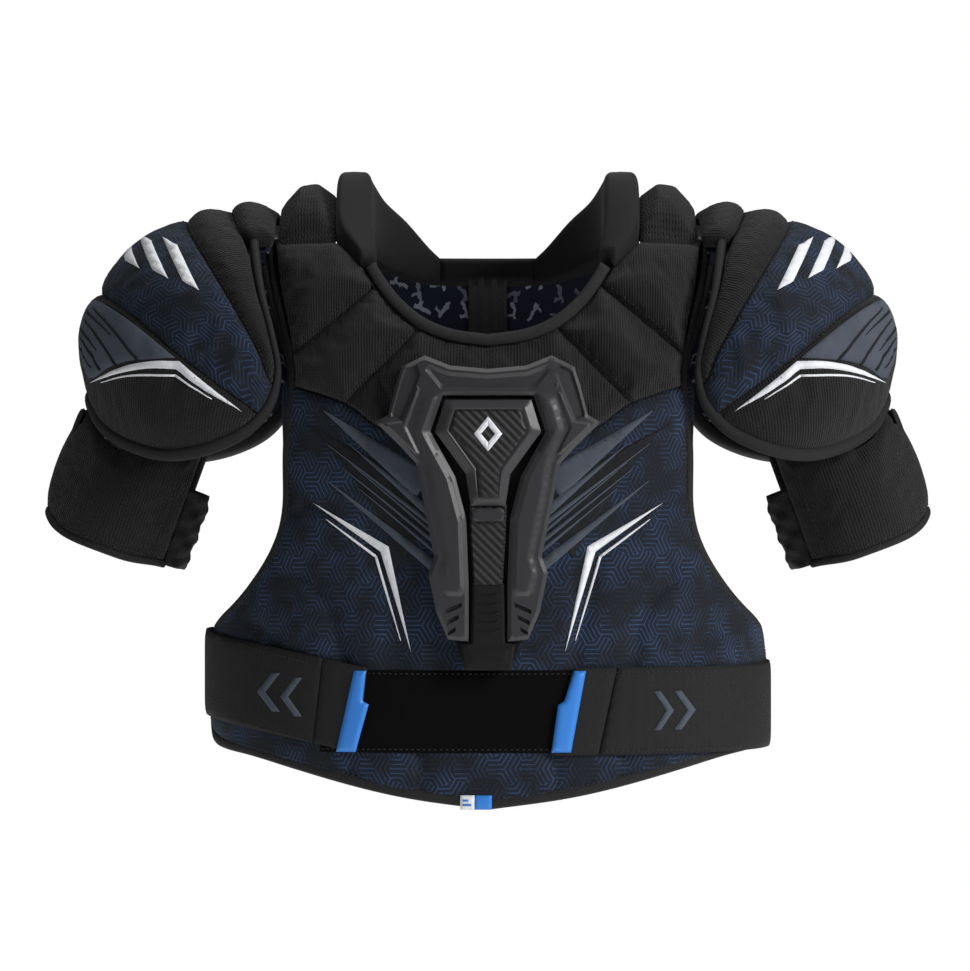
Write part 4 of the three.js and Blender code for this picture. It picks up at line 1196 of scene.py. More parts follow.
# Motifs sit 17 mm apart: each Voronoi cell turns its own short bar and hook by the cell's random colour.
lining_grid = node(
    lining_tree, "ShaderNodeVectorMath", {"operation": "SCALE"},
    {0: lining_flat.outputs["Vector"], "Scale": 58.0},
)
brushed = node(
    lining_tree, "ShaderNodeTexNoise",
    inputs={"Vector": lining_grid.outputs[0], "Scale": 3.5, "Detail": 2.0},
)
grid_place = node(
    lining_tree, "ShaderNodeVectorMath", {"operation": "MULTIPLY_ADD"},
    {0: brushed.outputs["Color"], 1: (0.3, 0.3, 0), 2: lining_grid.outputs[0]},
)
cells = node(
    lining_tree, "ShaderNodeTexVoronoi", {"voronoi_dimensions": "2D"},
    {"Vector": grid_place.outputs[0], "Scale": 1.0, "Randomness": 0.5},
)
from_centre = node(
    lining_tree, "ShaderNodeVectorMath", {"operation": "SUBTRACT"},
    {0: grid_place.outputs[0], 1: cells.outputs["Position"]},
)
cell_chance = node(lining_tree, "ShaderNodeSeparateXYZ", inputs={0: cells.outputs["Color"]})
cell_angle = node(
    lining_tree, "ShaderNodeMath", {"operation": "MULTIPLY"}, {0: cell_chance.outputs[0], 1: 2 * math.pi}
)
turned = node(
    lining_tree, "ShaderNodeVectorRotate", {"rotation_type": "Z_AXIS"},
    {0: from_centre.outputs[0], "Angle": cell_angle.outputs[0]},
)
bar_place = node(lining_tree, "ShaderNodeVectorMath", {"operation": "ABSOLUTE"}, {0: turned.outputs[0]})
bar_parts = node(lining_tree, "ShaderNodeSeparateXYZ", inputs={0: bar_place.outputs[0]})
turned_parts = node(lining_tree, "ShaderNodeSeparateXYZ", inputs={0: turned.outputs[0]})


def lesser(value, limit):
    return node(lining_tree, "ShaderNodeMath", {"operation": "LESS_THAN"}, {0: value, 1: limit}).outputs[0]


def product(a, b):
    return node(lining_tree, "ShaderNodeMath", {"operation": "MULTIPLY"}, {0: a, 1: b}).outputs[0]


bar = product(lesser(bar_parts.outputs[0], 0.075), lesser(bar_parts.outputs[1], 0.4))
hook_shift = node(
    lining_tree, "ShaderNodeMath", {"operation": "SUBTRACT"}, {0: turned_parts.outputs[1], 1: 0.18}
)
hook_height = node(lining_tree, "ShaderNodeMath", {"operation": "ABSOLUTE"}, {0: hook_shift.outputs[0]})
hook_side = node(
    lining_tree, "ShaderNodeMath", {"operation": "SUBTRACT"}, {0: turned_parts.outputs[0], 1: 0.14}
)
hook_reach = node(lining_tree, "ShaderNodeMath", {"operation": "ABSOLUTE"}, {0: hook_side.outputs[0]})
hook = product(lesser(hook_height.outputs[0], 0.075), lesser(hook_reach.outputs[0], 0.2))
motif = node(lining_tree, "ShaderNodeMath", {"operation": "MAXIMUM"}, {0: bar, 1: hook})
lining_fresh = node(lining_tree, "ShaderNodeMapRange", inputs={0: cell_chance.outputs[1], 3: 0.3, 4: 0.95})
motif_strength = product(motif.outputs[0], lining_fresh.outputs[0])
lining_tint = node(
    lining_tree, "ShaderNodeMix", {"data_type": "RGBA"},
    {"Factor": motif_strength, 6: linear("#131827"), 7: linear("#868a95")}
)
lining_tree.links.new(lining_tint.outputs[2], lining_surface.inputs["Base Color"])

front_lining_half = [
    on_girth([(0, -74), (24, -70.5), (43, -62.5), (59, -49), (70, -34.5), (78, -22), (84, PAD_TOP - 3)]),
    on_girth([(84, PAD_TOP - 3), (104, PAD_TOP), (149, PAD_TOP)]),
    on_girth(
        [
            (149, PAD_TOP), (144, -42), (137, -70), (133, -98), (135.5, -150), (136.5, -190), (143.5, -215),
            (156.5, -237), (170.5, -254), (184, -269),
        ]
    ),
    on_girth([(184, -269), (189.8, -292), (189.8, -334)]),
    on_girth([(189.8, -334), (186, -348), (128, -362.5), (60, -380), (0, -387.5)]),
]


def symmetric(runs):
    """A closed outline from the left half's smooth runs and their mirror image."""
    return loop_of(*runs, *[mirrored(run)[::-1] for run in runs[::-1]])


front_cut = symmetric(front_lining_half)
front_lining = quilt(
    "front_lining_cloth", front_cut, "front", lining_cloth, "lining", low=0, edge=1.2, high=1.7, roll=4,
    pitch=5,
)
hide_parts("front_lining")
GUSSET = 14
for side, sign in SIDES.items():
    rim = loop_of(*[mirrored(run, sign) for run in (
        on_girth([(GUSSET, -24), (36, -24), (50, -22), (72, -16), (92, -11), (103, -8.6), (150, -8)]),
        on_girth(
            [
                (150, -8), (144, -42), (137, -70), (133, -98), (135.5, -122), (136.5, -190), (143.5, -215),
                (156.5, -237), (170.5, -254), (184, -269),
            ]
        ),
        on_girth([(184, -269), (189.8, -292), (189.8, -334)]),
        on_girth([(189.8, -334), (183, -346), (170, -348.5)]),
        on_girth([(170, -348.5), (GUSSET, -348.5)]), on_girth([(GUSSET, -348.5), (GUSSET, -24)]),
    )])
    cloth = quilt(
        f"{side}_back_lining_cloth", rim, "back", lining_cloth, "lining", low=0, edge=1.2, high=1.7, roll=4,
        pitch=5, side=1,
    )
    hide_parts(f"{side}_back_lining")

# Stretch gusset: a black knit with fine upright pleats.
gusset_knit, gusset_tree, gusset_surface = material(
    "pleated_stretch_knit", Roughness=0.6, Specular_IOR_Level=0.35
)
gusset_height, _ = weave_bump(gusset_tree, gusset_surface, 1.6, 0.2, 0.6, (1, 1, 0.4))
# The pleats' hollows are painted darker and their crowns lighter, as painted shade and light.
gusset_pleat_shading = node(
    gusset_tree, "ShaderNodeMix", {"data_type": "RGBA"},
    {"Factor": gusset_height, 6: linear("#0b0b0d"), 7: linear("#1e1e21")}
)
gusset_tree.links.new(gusset_pleat_shading.outputs[2], gusset_surface.inputs["Base Color"])


def pleated(flat, out, side=1):
    """The back, with a ripple across the gusset that stands for its pleats."""
    return torso(flat, out + 0.9 * np.cos(flat[:, 0] * math.pi / 4.5), side=side)


gusset = quilt(
    "back_gusset_knit", straight([(-GUSSET, -24), (GUSSET, -24), (GUSSET, -348.5), (-GUSSET, -348.5)], 3),
    "back", gusset_knit, "gusset", low=-0.4, edge=1.2, high=1.6, roll=3, place=pleated, pitch=2.6,
)
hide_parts("back_gusset")


# ---- Bridges and collar: warp-knit over 18 mm foam, over the shoulders and up round the neck ----
# A bridge is a fat roll sewn down at its front and back ends. The collar wall leans outward from the bridges
# and thins towards the nape.

BRIDGE_IN, BRIDGE_OUT = 103, 142.6


def shoulder(flat, out, side=1):
    """Points over a shoulder. The pattern is [across, degrees from the top], on the left or the right."""
    x, lean = flat[:, 0], np.radians(flat[:, 1])
    top = SHOULDER_TOP - SHOULDER_DROP * np.minimum(np.abs(x) / HALF_WIDTH, 1) ** 3.4 + out
    full = (1 - np.clip(np.abs(x) / (HALF_WIDTH + out), 0, 1) ** SQUARENESS) ** (1 / SQUARENESS)
    front = lean < 0
    depth = np.where(front, FRONT_DEPTH, BACK_DEPTH) + out
    start = np.where(front, FRONT_CURVE, BACK_CURVE)
    return np.column_stack([side * x, depth * full * np.sin(lean), start + (top - start) * np.cos(lean)])


def lean_at(z, x, out=19, start=FRONT_CURVE):
    """Degrees from the top at which the shoulder's skin is down at height z."""
    top = SHOULDER_TOP - SHOULDER_DROP * (x / HALF_WIDTH) ** 3.4 + out
    return math.degrees(math.acos((z - start) / (top - start)))


bridge_front, bridge_back = -lean_at(-8, 122), 36
bridges = []
for side, sign in SIDES.items():
    outline = straight(
        [
            (BRIDGE_IN + 0.4, bridge_front), (BRIDGE_OUT, bridge_front), (BRIDGE_OUT, bridge_back),
            (BRIDGE_IN + 0.4, bridge_back),
        ],
        2.6,
    )
    row = curve([(BRIDGE_IN, bridge_front + 4.5), (BRIDGE_OUT, bridge_front + 4.5)])
    bridge = quilt(
        f"{side}_bridge_cushion", outline, "back", black_knit, "black_knit", [row], low=0.5, edge=9,
        high=20.5,
        roll=6.5, dip=0.4, place=shoulder, pitch=2.6, side=sign,
    )
    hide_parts(f"{side}_bridge_pad")
    bridges.append(bridge)
swell(bridges, cap=3)
for (side, sign), bridge in zip(SIDES.items(), bridges):
    rows = [curve([(BRIDGE_IN + 3, bridge_front + 4.5), (BRIDGE_OUT - 3, bridge_front + 4.5)])]
    stitches(
        f"{side}_bridge_stitches", rows, over_surface([bridge]), "back", "black_knit", place=shoulder,
        side=sign, high=30,
    )

# Smooth brushed tricot of the collar: black with a faint plum cast, lighter and darker in broad soft patches.
collar_tricot, collar_tree, collar_surface = material(
    "brushed_tricot", Roughness=0.75, Sheen_Weight=0.06, Sheen_Roughness=0.4, Specular_IOR_Level=0.25
)
_, collar_place = weave_bump(collar_tree, collar_surface, 1.2, 0.12, 0.4)
collar_patches = node(
    collar_tree, "ShaderNodeTexNoise", inputs={"Vector": collar_place, "Scale": 0.03, "Detail": 3.0}
)
collar_tint = node(
    collar_tree, "ShaderNodeMix", {"data_type": "RGBA"},
    {"Factor": collar_patches.outputs["Fac"], 6: linear("#070608"), 7: linear("#110f12")}
)
collar_tree.links.new(collar_tint.outputs[2], collar_surface.inputs["Base Color"])

COLLAR = np.array([
    (75, -76, 85, -88, -28, -15), (78, -58, 101, -68, -18, 8), (79, -28, 104, -32, -12, 37),
    (80, 0, 104, 0, -10, 44), (78, 25, 102, 30, -12, 40), (70, 50, 91, 65, -18, 28),
    (56, 72, 72, 90, -24, 15), (42, 84, 50, 102, -29, -2), (34, 88, 37, 105, -28, -10.5),
], float)
COLLAR_BACK = np.array(
    [
        (33.6, 88.2, 36.3, 105.2, -28, -10.5), (0, 90, 0, 107, -28, -10.5),
        (-33.6, 88.2, -36.3, 105.2, -28, -10.5),
    ],
    float,
)
WALL_STEPS = 28


def padded_wall(name, stations, sign, finish, body, replaced, crown=0.35):
    """An upright padded wall through stations of [inner x, y, outer x, y, bottom, top], with a round top."""
    p = np.vstack([2 * stations[0] - stations[1], stations, 2 * stations[-1] - stations[-2]])
    t = np.linspace(0, 1, 8, endpoint=False)[:, None]
    runs = [
        0.5 * (2 * b + (c - a) * t + (2 * a - 5 * b + 4 * c - d) * t**2 + (3 * b - a - 3 * c + d) * t**3)
        for a, b, c, d in zip(p, p[1:], p[2:], p[3:])
    ]
    rows = np.vstack([*runs, p[-2][None]])
    points = []
    for ix, iy, ox, oy, bottom, top in rows:
        for k in range(WALL_STEPS):
            turn = 2 * math.pi * k / WALL_STEPS
            across = 0.5 + 0.5 * math.copysign(abs(math.cos(turn)) ** crown, math.cos(turn))
            up = 0.5 + 0.5 * math.copysign(abs(math.sin(turn)) ** 0.45, math.sin(turn))
            points.append(
                (sign * (ix + (ox - ix) * across), iy + (oy - iy) * across, bottom + (top - bottom) * up)
            )
    faces = []
    for i in range(len(rows) - 1):
        for k in range(WALL_STEPS):
            a, b, n = i * WALL_STEPS, (i + 1) * WALL_STEPS, (k + 1) % WALL_STEPS
            faces.append((a + k, b + k, b + n, a + n))
    faces += [tuple(range(WALL_STEPS)), tuple(range(len(points) - WALL_STEPS, len(points)))[::-1]]
    piece = mesh_piece(name, points, faces, finish, body)
    face_outward(piece)
    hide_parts(replaced)
    return piece


for side, sign in SIDES.items():
    padded_wall(f"{side}_collar_wall", COLLAR, sign, collar_tricot, "back", f"{side}_collar_pad")
padded_wall("back_collar_roll", COLLAR_BACK, 1, collar_tricot, "back", "back_collar_pad", 0.6)


# ---- Shoulder caps: a domed shell of polyester over foam and a hidden moulded insert ----
# Each has a printed dome with a lobe below its seam, a black rib over its inner side, a yoke rib beside the
# bridge and a bound rim.

CAP_CENTRE, CAP_RADII, CAP_LOWER = np.array([168.0, 0, -88]), np.array([114.0, 112, 106]), 190.0
CAP_FACE = np.array([0.75, 0, 0.66])  # the pattern is laid out flat about this direction
CAP_FACE /= np.linalg.norm(CAP_FACE)
CAP_ALONG = np.array([0, -1.0, 0])
CAP_ACROSS = np.cross(CAP_FACE, CAP_ALONG)
CAP_SPREAD = 110.0  # millimetres of pattern per radian


def cap_pattern(points, back=False):
    """The flat pattern of points seen at [x, z] from the front, on the left cap's front or back."""
    points = np.asarray(points, float)
    x = (points[:, 0] - CAP_CENTRE[0]) / CAP_RADII[0]
    fall = points[:, 1] - CAP_CENTRE[2]
    z = fall / np.where(fall < 0, CAP_LOWER, CAP_RADII[2])
    reach = np.maximum(np.hypot(x, z), 1)
    x, z = x / reach, z / reach
    y = np.sqrt(np.maximum(1 - x * x - z * z, 0)) * (1 if back else -1)
    way = np.column_stack([x, y, z])
    off = np.arccos(np.clip(way @ CAP_FACE, -1, 1))
    u, v = way @ CAP_ALONG, way @ CAP_ACROSS
    size = np.maximum(np.hypot(u, v), 1e-9)
    return np.column_stack([u / size, v / size]) * (off * CAP_SPREAD)[:, None]


def cap_skin(flat, out, side=1):
    """Points of a cap, out mm clear of its outer surface, from its flat pattern."""
    off = np.hypot(flat[:, 0], flat[:, 1])
    size = np.maximum(off, 1e-9)
    angle = (off / CAP_SPREAD)[:, None]
    sideways = (flat[:, :1] * CAP_ALONG + flat[:, 1:] * CAP_ACROSS) / size[:, None]
    way = np.cos(angle) * CAP_FACE + np.sin(angle) * sideways
    radii = np.tile(CAP_RADII, (len(flat), 1))
    radii[way[:, 2] < 0, 2] = CAP_LOWER
    points = CAP_CENTRE + way * (radii + np.asarray(out, float).reshape(-1, 1))
    points[:, 0] *= side
    return points


def cap_line(points, back=False, step=3.0):
    """A smooth line on the cap through points seen at [x, z] from the front."""
    return resample(cap_pattern(curve(points, 1.0), back), step)


RIM = [
    (155, -6), (149, -42), (142, -70), (137, -98), (142, -122), (158, -141), (185, -154), (215, -159),
    (243, -153), (266, -140), (281, -119),
]
RIB_IN = [(176, 19), (176, 15), (163, -12), (155, -42), (150, -60)]
RIB_OUT = [(209, 11), (206, 2), (188, -26), (170, -55), (155, -82), (147, -102)]
DOME_SEAM = [(280.5, -28), (269, -40), (240, -59), (209, -85), (178, -108), (154, -125)]


def meet(line, other):
    """Cuts a line where it comes nearest another, keeping its first part."""
    near = distance_to(line, other)
    return line[: int(np.argmin(near)) + 1]


rim_front = cap_line(RIM)
rim_back = cap_line(RIM, back=True)
whole_rim = np.vstack([rim_front, rim_back[-2::-1]])
TAPE = 7.0
inner_rim = beside(whole_rim, TAPE - 1)
if distance_to(inner_rim[len(inner_rim) // 2][None], [(0, 0), (0, 0.1)]) > distance_to(
    whole_rim[len(whole_rim) // 2][None], [(0, 0), (0, 0.1)]
):
    inner_rim = beside(whole_rim, 1 - TAPE)
rib_in_front, rib_out_front = cap_line(RIB_IN), cap_line(RIB_OUT)
rib_in_back, rib_out_back = cap_line(RIB_IN, back=True), cap_line(RIB_OUT, back=True)


def ring(*parts):
    """A closed outline from lines that run on from each other."""
    joined = np.vstack(parts)
    keep = np.linalg.norm(joined - np.roll(joined, 1, axis=0), axis=1) > 0.8
    return resample(np.vstack([joined[keep], joined[keep][:1]]), 3.0)[:-1]


def rim_part(first, last):
    """The rim's inner line from the point nearest first to the one nearest last."""
    i, k = (int(np.argmin(np.linalg.norm(inner_rim - p, axis=1))) for p in (first, last))
    return inner_rim[i : k + 1] if i <= k else inner_rim[k : i + 1][::-1]


rib_in_f, rib_out_f = meet(rib_in_front, inner_rim), meet(rib_out_front, inner_rim)
rib_in_b, rib_out_b = meet(rib_in_back, inner_rim), meet(rib_out_back, inner_rim)
dome_seam_front = cap_line(DOME_SEAM)
dome_seam_back = cap_line(DOME_SEAM, back=True)
seam_f, seam_b = meet(dome_seam_front, inner_rim), meet(dome_seam_back, inner_rim)
dome_outline = ring(
    rib_out_f, rim_part(rib_out_f[-1], seam_f[-1]), seam_f[::-1], seam_b,
    rim_part(seam_b[-1], rib_out_b[-1]), rib_out_b[::-1]
)
lobe_outline = ring(seam_f, rim_part(seam_f[-1], seam_b[-1]), seam_b[::-1])
rib_outline = ring(
    rib_in_f, rim_part(rib_in_f[-1], rib_out_f[-1]), rib_out_f[::-1], rib_out_b,
    rim_part(rib_out_b[-1], rib_in_b[-1]), rib_in_b[::-1],
)
INNER_LINE = [(144.5, 15), (144.5, -6)]
yoke_outline = ring(
    cap_line(INNER_LINE, step=2.0), cap_line([(144.5, -6), (160, -6)], step=2.0),
    cap_line([(160, -6), (168, 0), (175, 14)], step=2.0),
    cap_line([(168, 0), (175, 14)], back=True, step=2.0)[::-1],
    cap_line([(144.5, -6), (160, -6)], back=True, step=2.0)[::-1],
    cap_line(INNER_LINE, back=True, step=2.0)[::-1],
)
lining_outline = ring(
    cap_line([(145.5, 14), (145.5, -6)]), inner_rim, cap_line([(145.5, 14), (145.5, -6)], back=True)[::-1]
)
lobe_crease = cap_line([(277, -121), (262, -134), (240, -145), (215, -150), (188, -146), (165, -135)])
caps = {}
for side, sign in SIDES.items():
    dome = quilt(
        f"{side}_cap_dome_cover", dome_outline, f"{side}_cap", navy_print, "navy_print", low=-8.4, edge=-2.2,
        high=0.8, roll=6, place=cap_skin, side=sign,
    )
    lobe = quilt(
        f"{side}_cap_lower_lobe", lobe_outline, f"{side}_cap", black_knit, "black_knit", [lobe_crease],
        low=-8.4, edge=-3.4, high=2.2, roll=8, dip=0.3, place=cap_skin, side=sign,
    )
    rib = quilt(
        f"{side}_cap_rib_cushion", rib_outline, f"{side}_cap", black_knit, "black_knit", low=-8.4, edge=-3,
        high=2.4, roll=7, place=cap_skin, side=sign,
    )
    yoke = quilt(
        f"{side}_cap_yoke_cushion", yoke_outline, f"{side}_cap", black_knit, "black_knit", low=-8.4,
        edge=-1, high=4.6, roll=6, place=cap_skin, pitch=2.6, side=sign,
    )
    cloth = quilt(
        f"{side}_cap_lining_cloth", lining_outline, f"{side}_cap", lining_cloth, "lining", low=-14,
        edge=-12.4, high=-11.8, roll=4, pitch=6, place=cap_skin, side=sign,
    )
    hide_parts(f"{side}_cap_lining")
    for pad, replaced in ((dome, "dome"), (lobe, "dome"), (rib, "rib"), (yoke, "yoke_rib")):
        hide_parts(f"{side}_cap_{replaced}")
    caps[side] = (dome, lobe, rib, yoke)
swell([pad for pads in caps.values() for pad in pads], cap=2.5, slack=0.02)

BAND = [
    (279, -44), (262, -50), (240, -64), (209, -88.7), (226, -89.5), (240, -90.5), (254, -94.5), (268, -101),
    (279, -92),
]
CAP_CHEVRON = [
    (270, -104), (244, -94.3), (225, -90.9), (206.7, -90.9), (188, -106.3), (164, -124.9), (189, -110.5),
    (208.6, -96.4), (225, -95.6), (244, -98),
]
CAP_SECOND = [
    ([(260, -104), (238, -100), (209, -100.6)], (0.5, 1.4, 1.5)),
    ([(209, -100.6), (184, -116.4)], (1.5, 0.5)),
]
BARS = [
    [
        (193 + 21 * i, -44 + 8 * i), (204 + 21 * i, -38 + 8 * i), (221 + 19 * i, -6 + 4 * i),
        (210 + 19 * i, -12 + 4 * i),
    ]
    for i in range(3)
]
DARK_LINES = [
    ([(268, -53), (250, -70), (232.5, -91)], (0.8, 1.6, 1.8)),
    ([(273, -61), (260, -76), (248, -93)], (0.8, 1.6, 1.8)),
    ([(276, -73), (268, -84), (260, -96)], (0.8, 1.6, 1.8)),
    ([(262, -49), (250, -56), (238, -64)], (1.6, 1.2, 0.4)),
    ([(273, -55), (262, -64), (252, -73)], (1.8, 1.2, 0.4)),
    ([(277, -66), (269, -75), (262, -83)], (2, 1.4, 0.4)),
    ([(279, -80), (274, -86), (268, -94)], (2, 1.4, 0.6)),
]


def cap_outline(points, corners, step=3.0):
    """A closed outline on the cap from smooth runs between the numbered corners."""
    runs = [points[a : b + 1] for a, b in zip(corners, corners[1:])] + [points[corners[-1] :] + points[:1]]
    return np.vstack([cap_line(run, step=step)[:-1] for run in runs])


for side, sign in SIDES.items():
    dome, lobe, rib, yoke = caps[side]
    laid = dict(place=cap_skin, side=sign, high=14, low=-6)
    stack = over_surface([dome, lobe])
    band = ink(
        f"{side}_cap_slate_band", [cap_outline(BAND, [0, 3, 8])], stack, slate_ink, f"{side}_cap",
        "navy_print", **laid
    )
    stack = over_surface([dome, lobe, band])
    ink(
        f"{side}_cap_dark_lines", [cap_pattern(taper(line, widths)) for line, widths in DARK_LINES], stack,
        black_print, f"{side}_cap", "navy_print", **laid
    )
    white = [cap_outline(CAP_CHEVRON, [0, 3, 5, 7])] + [
        cap_pattern(taper(line, widths)) for line, widths in CAP_SECOND
    ]
    ink(f"{side}_cap_chevron", white, stack, white_ink, f"{side}_cap", "navy_print", **laid)
    ink(
        f"{side}_cap_bars", [cap_pattern(straight(shape, 2)) for shape in BARS], stack, white_ink,
        f"{side}_cap", "navy_print", **laid
    )
    tape = ribbon(
        f"{side}_cap_rim_tape", (whole_rim + inner_rim) / 2, TAPE, -14.5, -1.2,
        binding_tape, f"{side}_cap", "binding", place=cap_skin, fullness=0.7, side=sign,
    )
    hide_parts(f"{side}_cap_binding")
    rows = [dome_seam_front, beside(rib_out_f, 2.4), beside(rib_out_f, -2.4), beside(rib_in_f, 2.4)]
    stitches(
        f"{side}_cap_stitches", rows, over_surface([dome, rib, lobe]), f"{side}_cap", "black_knit",
        place=cap_skin, side=sign, high=14, low=-6,
    )


# ---- Upper-arm guards: a padded sleeve with a moulded insert, hung from the cap by an elastic flap ----
# The inner arm is open, and closed by a gathered elastic strap.

GUARD_FOOT, GUARD_TILT, GUARD_LENGTH = np.array([261.0, 0, -221]), math.radians(20), 108.0
GUARD_RADII = np.array([53.0, 48.0])
ARM = 50.0  # millimetres of pattern per radian round the arm


def sleeve(flat, out, side=1):
    """Points round the upper arm. The pattern is [round it from outward to the front, up from the edge]."""
    angle, along = flat[:, 0] / ARM, flat[:, 1]
    across = (GUARD_RADII[0] + out) * np.cos(angle)
    x = GUARD_FOOT[0] - along * math.sin(GUARD_TILT) + across * math.cos(GUARD_TILT)
    z = GUARD_FOOT[2] + along * math.cos(GUARD_TILT) + across * math.sin(GUARD_TILT)
    return np.column_stack([side * x, -(GUARD_RADII[1] + out) * np.sin(angle), z])


def cap_depth(point):
    """How deep a point lies under the cap's outer surface."""
    way = (point - CAP_CENTRE) / np.array(
        [*CAP_RADII[:2], CAP_LOWER if point[2] < CAP_CENTRE[2] else CAP_RADII[2]]
    )
    return (1 - np.linalg.norm(way)) * 112


rim_x, rim_z = np.array(RIM).T


def guard_top(degrees):
    """How far up the sleeve goes before it would meet the cap's rim."""
    for along in np.arange(40, GUARD_LENGTH, 1.0):
        point = sleeve(np.array([[math.radians(degrees) * ARM, along]]), np.zeros(1))[0]
        rim_at = np.interp(point[0], rim_x[4:], rim_z[4:]) if point[0] < 281 else -125
        if point[2] > rim_at + (4 if point[0] < 250 else -2.2) and (point[0] > 213 or cap_depth(point) < 17):
            return along
    return GUARD_LENGTH


OPEN_AT = 138
tops = [(math.radians(d) * ARM, guard_top(d)) for d in range(-OPEN_AT, OPEN_AT + 1, 6)]
lower_edge = [
    (math.radians(d) * ARM, 2 + 11 * max(math.cos(math.radians(d)), 0) ** 5 + 4 * ease(abs(d), 100, 138))
    for d in range(OPEN_AT, -OPEN_AT - 1, -6)
]
sleeve_loop = resample(np.vstack([tops, lower_edge, tops[:1]]), 3.2)[:-1]
sleeve_seams = [
    curve([(math.radians(d) * ARM, 4), (math.radians(d) * ARM + 4, 40), (math.radians(d) * ARM + 2, 66)])
    for d in (34, 118, -34, -118)
]
# Plain-knit elastic: black, ribbed along its stretch, with a dull shine on the ribs that is partly painted.
elastic_knit, elastic_tree, elastic_surface = material(
    "woven_elastic", Roughness=0.72, Specular_IOR_Level=0.3
)
elastic_height, _ = weave_bump(elastic_tree, elastic_surface, 1.5, 0.25, 0.7, (0.6, 0.6, 1.4))
# The rib crowns are painted lighter, as a painted dull shine, and the hollows darker, as painted shade.
elastic_rib_shading = node(
    elastic_tree, "ShaderNodeMix", {"data_type": "RGBA"},
    {"Factor": elastic_height, 6: linear("#060607"), 7: linear("#101011")}
)
elastic_tree.links.new(elastic_rib_shading.outputs[2], elastic_surface.inputs["Base Color"])


def gathered(flat, out, side=1):
    """The sleeve's inner side with puckers where the elastic gathers it."""
    pucker = np.sin(flat[:, 1] / 2.9 + flat[:, 0] / 7) + 0.5 * np.sin(flat[:, 1] / 1.9 - flat[:, 0] / 5)
    return sleeve(flat, out + 0.9 * pucker, side=side)


guards = []
for side, sign in SIDES.items():
    body = f"{side}_guard"
    pad = quilt(
        f"{side}_guard_cushion", sleeve_loop, body, black_knit, "black_knit", sleeve_seams, low=-6.4,
        edge=-3, high=2.6, roll=9, dip=0.3, place=sleeve, side=sign,
    )
    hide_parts(f"{side}_guard_pad")
    guards.append(pad)
    lining_rim = resample(
        np.vstack(
            [
                [(a * 0.99, h - 6) for a, h in tops], [(a * 0.99, h + 2) for a, h in lower_edge],
                [(tops[0][0] * 0.99, tops[0][1] - 6)],
            ]
        ),
        4,
    )[:-1]
    cloth = quilt(
        f"{side}_guard_lining_cloth", lining_rim, body, lining_cloth, "lining", low=-10.3, edge=-9.4,
        high=-9, roll=4, pitch=5, place=sleeve, side=sign,
    )
    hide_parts(f"{side}_guard_lining")
    hem_line = resample([(a, h + 0.6) for a, h in lower_edge], 3)
    ribbon(
        f"{side}_guard_hem_tape", hem_line, 5.6, -10, 0.9, binding_tape, body, "binding", place=sleeve,
        side=sign,
    )
    strap_loop = straight(
        [
            (math.radians(138.8) * ARM, 6), (math.radians(221.2) * ARM, 6), (math.radians(221.2) * ARM, 60),
            (math.radians(138.8) * ARM, 60),
        ],
        2.6,
    )
    strap = quilt(
        f"{side}_guard_strap_elastic", strap_loop, f"{side}_guard_strap", elastic_knit, "elastic", low=-4,
        edge=-2.6, high=-1.4, roll=3, pitch=2.4, place=gathered, side=sign,
    )
    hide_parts(f"{side}_guard_strap")
swell(guards, cap=2.5, slack=0.03)
for (side, sign), pad in zip(SIDES.items(), guards):
    flap = []
    for d in np.arange(-20, 20.1, 2.0):
        column = []
        for along in np.arange(52, 110, 1.0):
            point = sleeve(np.array([[math.radians(d) * ARM, along]]), np.full(1, 1.5))[0]
            if point[2] > rim_z[-1] - 1.5:
                break
            column.append(along)
        flap.append((math.radians(d) * ARM, column[-1]))
    flap_loop = resample(np.vstack([flap, [(a, 53) for a, _ in flap[::-1]], flap[:1]]), 2.6)[:-1]
    hanger = quilt(
        f"{side}_guard_hanger_flap", flap_loop, f"{side}_guard", elastic_knit, "elastic", low=0.3, edge=1.4,
        high=2.6, roll=3, pitch=2.4, place=sleeve, side=sign,
    )
    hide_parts(f"{side}_guard_hanger")
    stitches(
        f"{side}_guard_stitches", [*sleeve_seams, resample([(a * 0.97, h + 5) for a, h in lower_edge], 3)],
        over_surface([pad]), f"{side}_guard", "black_knit", place=sleeve, side=sign, high=10, low=-6,
    )


# ---- Belly closure: a wide elastic strap from each side, whose hook tab lands on a front loop panel ----
# Each strap comes round the wearer's side from an anchor on the back vest and ends in a blue moulded pull
# tab.

LOOP_TOP, LOOP_BOTTOM, LOOP_HALF = -296.5, -351.5, 112
STRAP_MIDDLE, STRAP_TALL, TAB = -324, 58, 30
STRAP_FIT = {"left": (56, 0, -14), "right": (80, 0.2, 8)}  # end from the middle, climb and lean
STRAP_END, ANCHOR_END = 326, 372  # girth at which strap and anchor stop, round the wearer's side

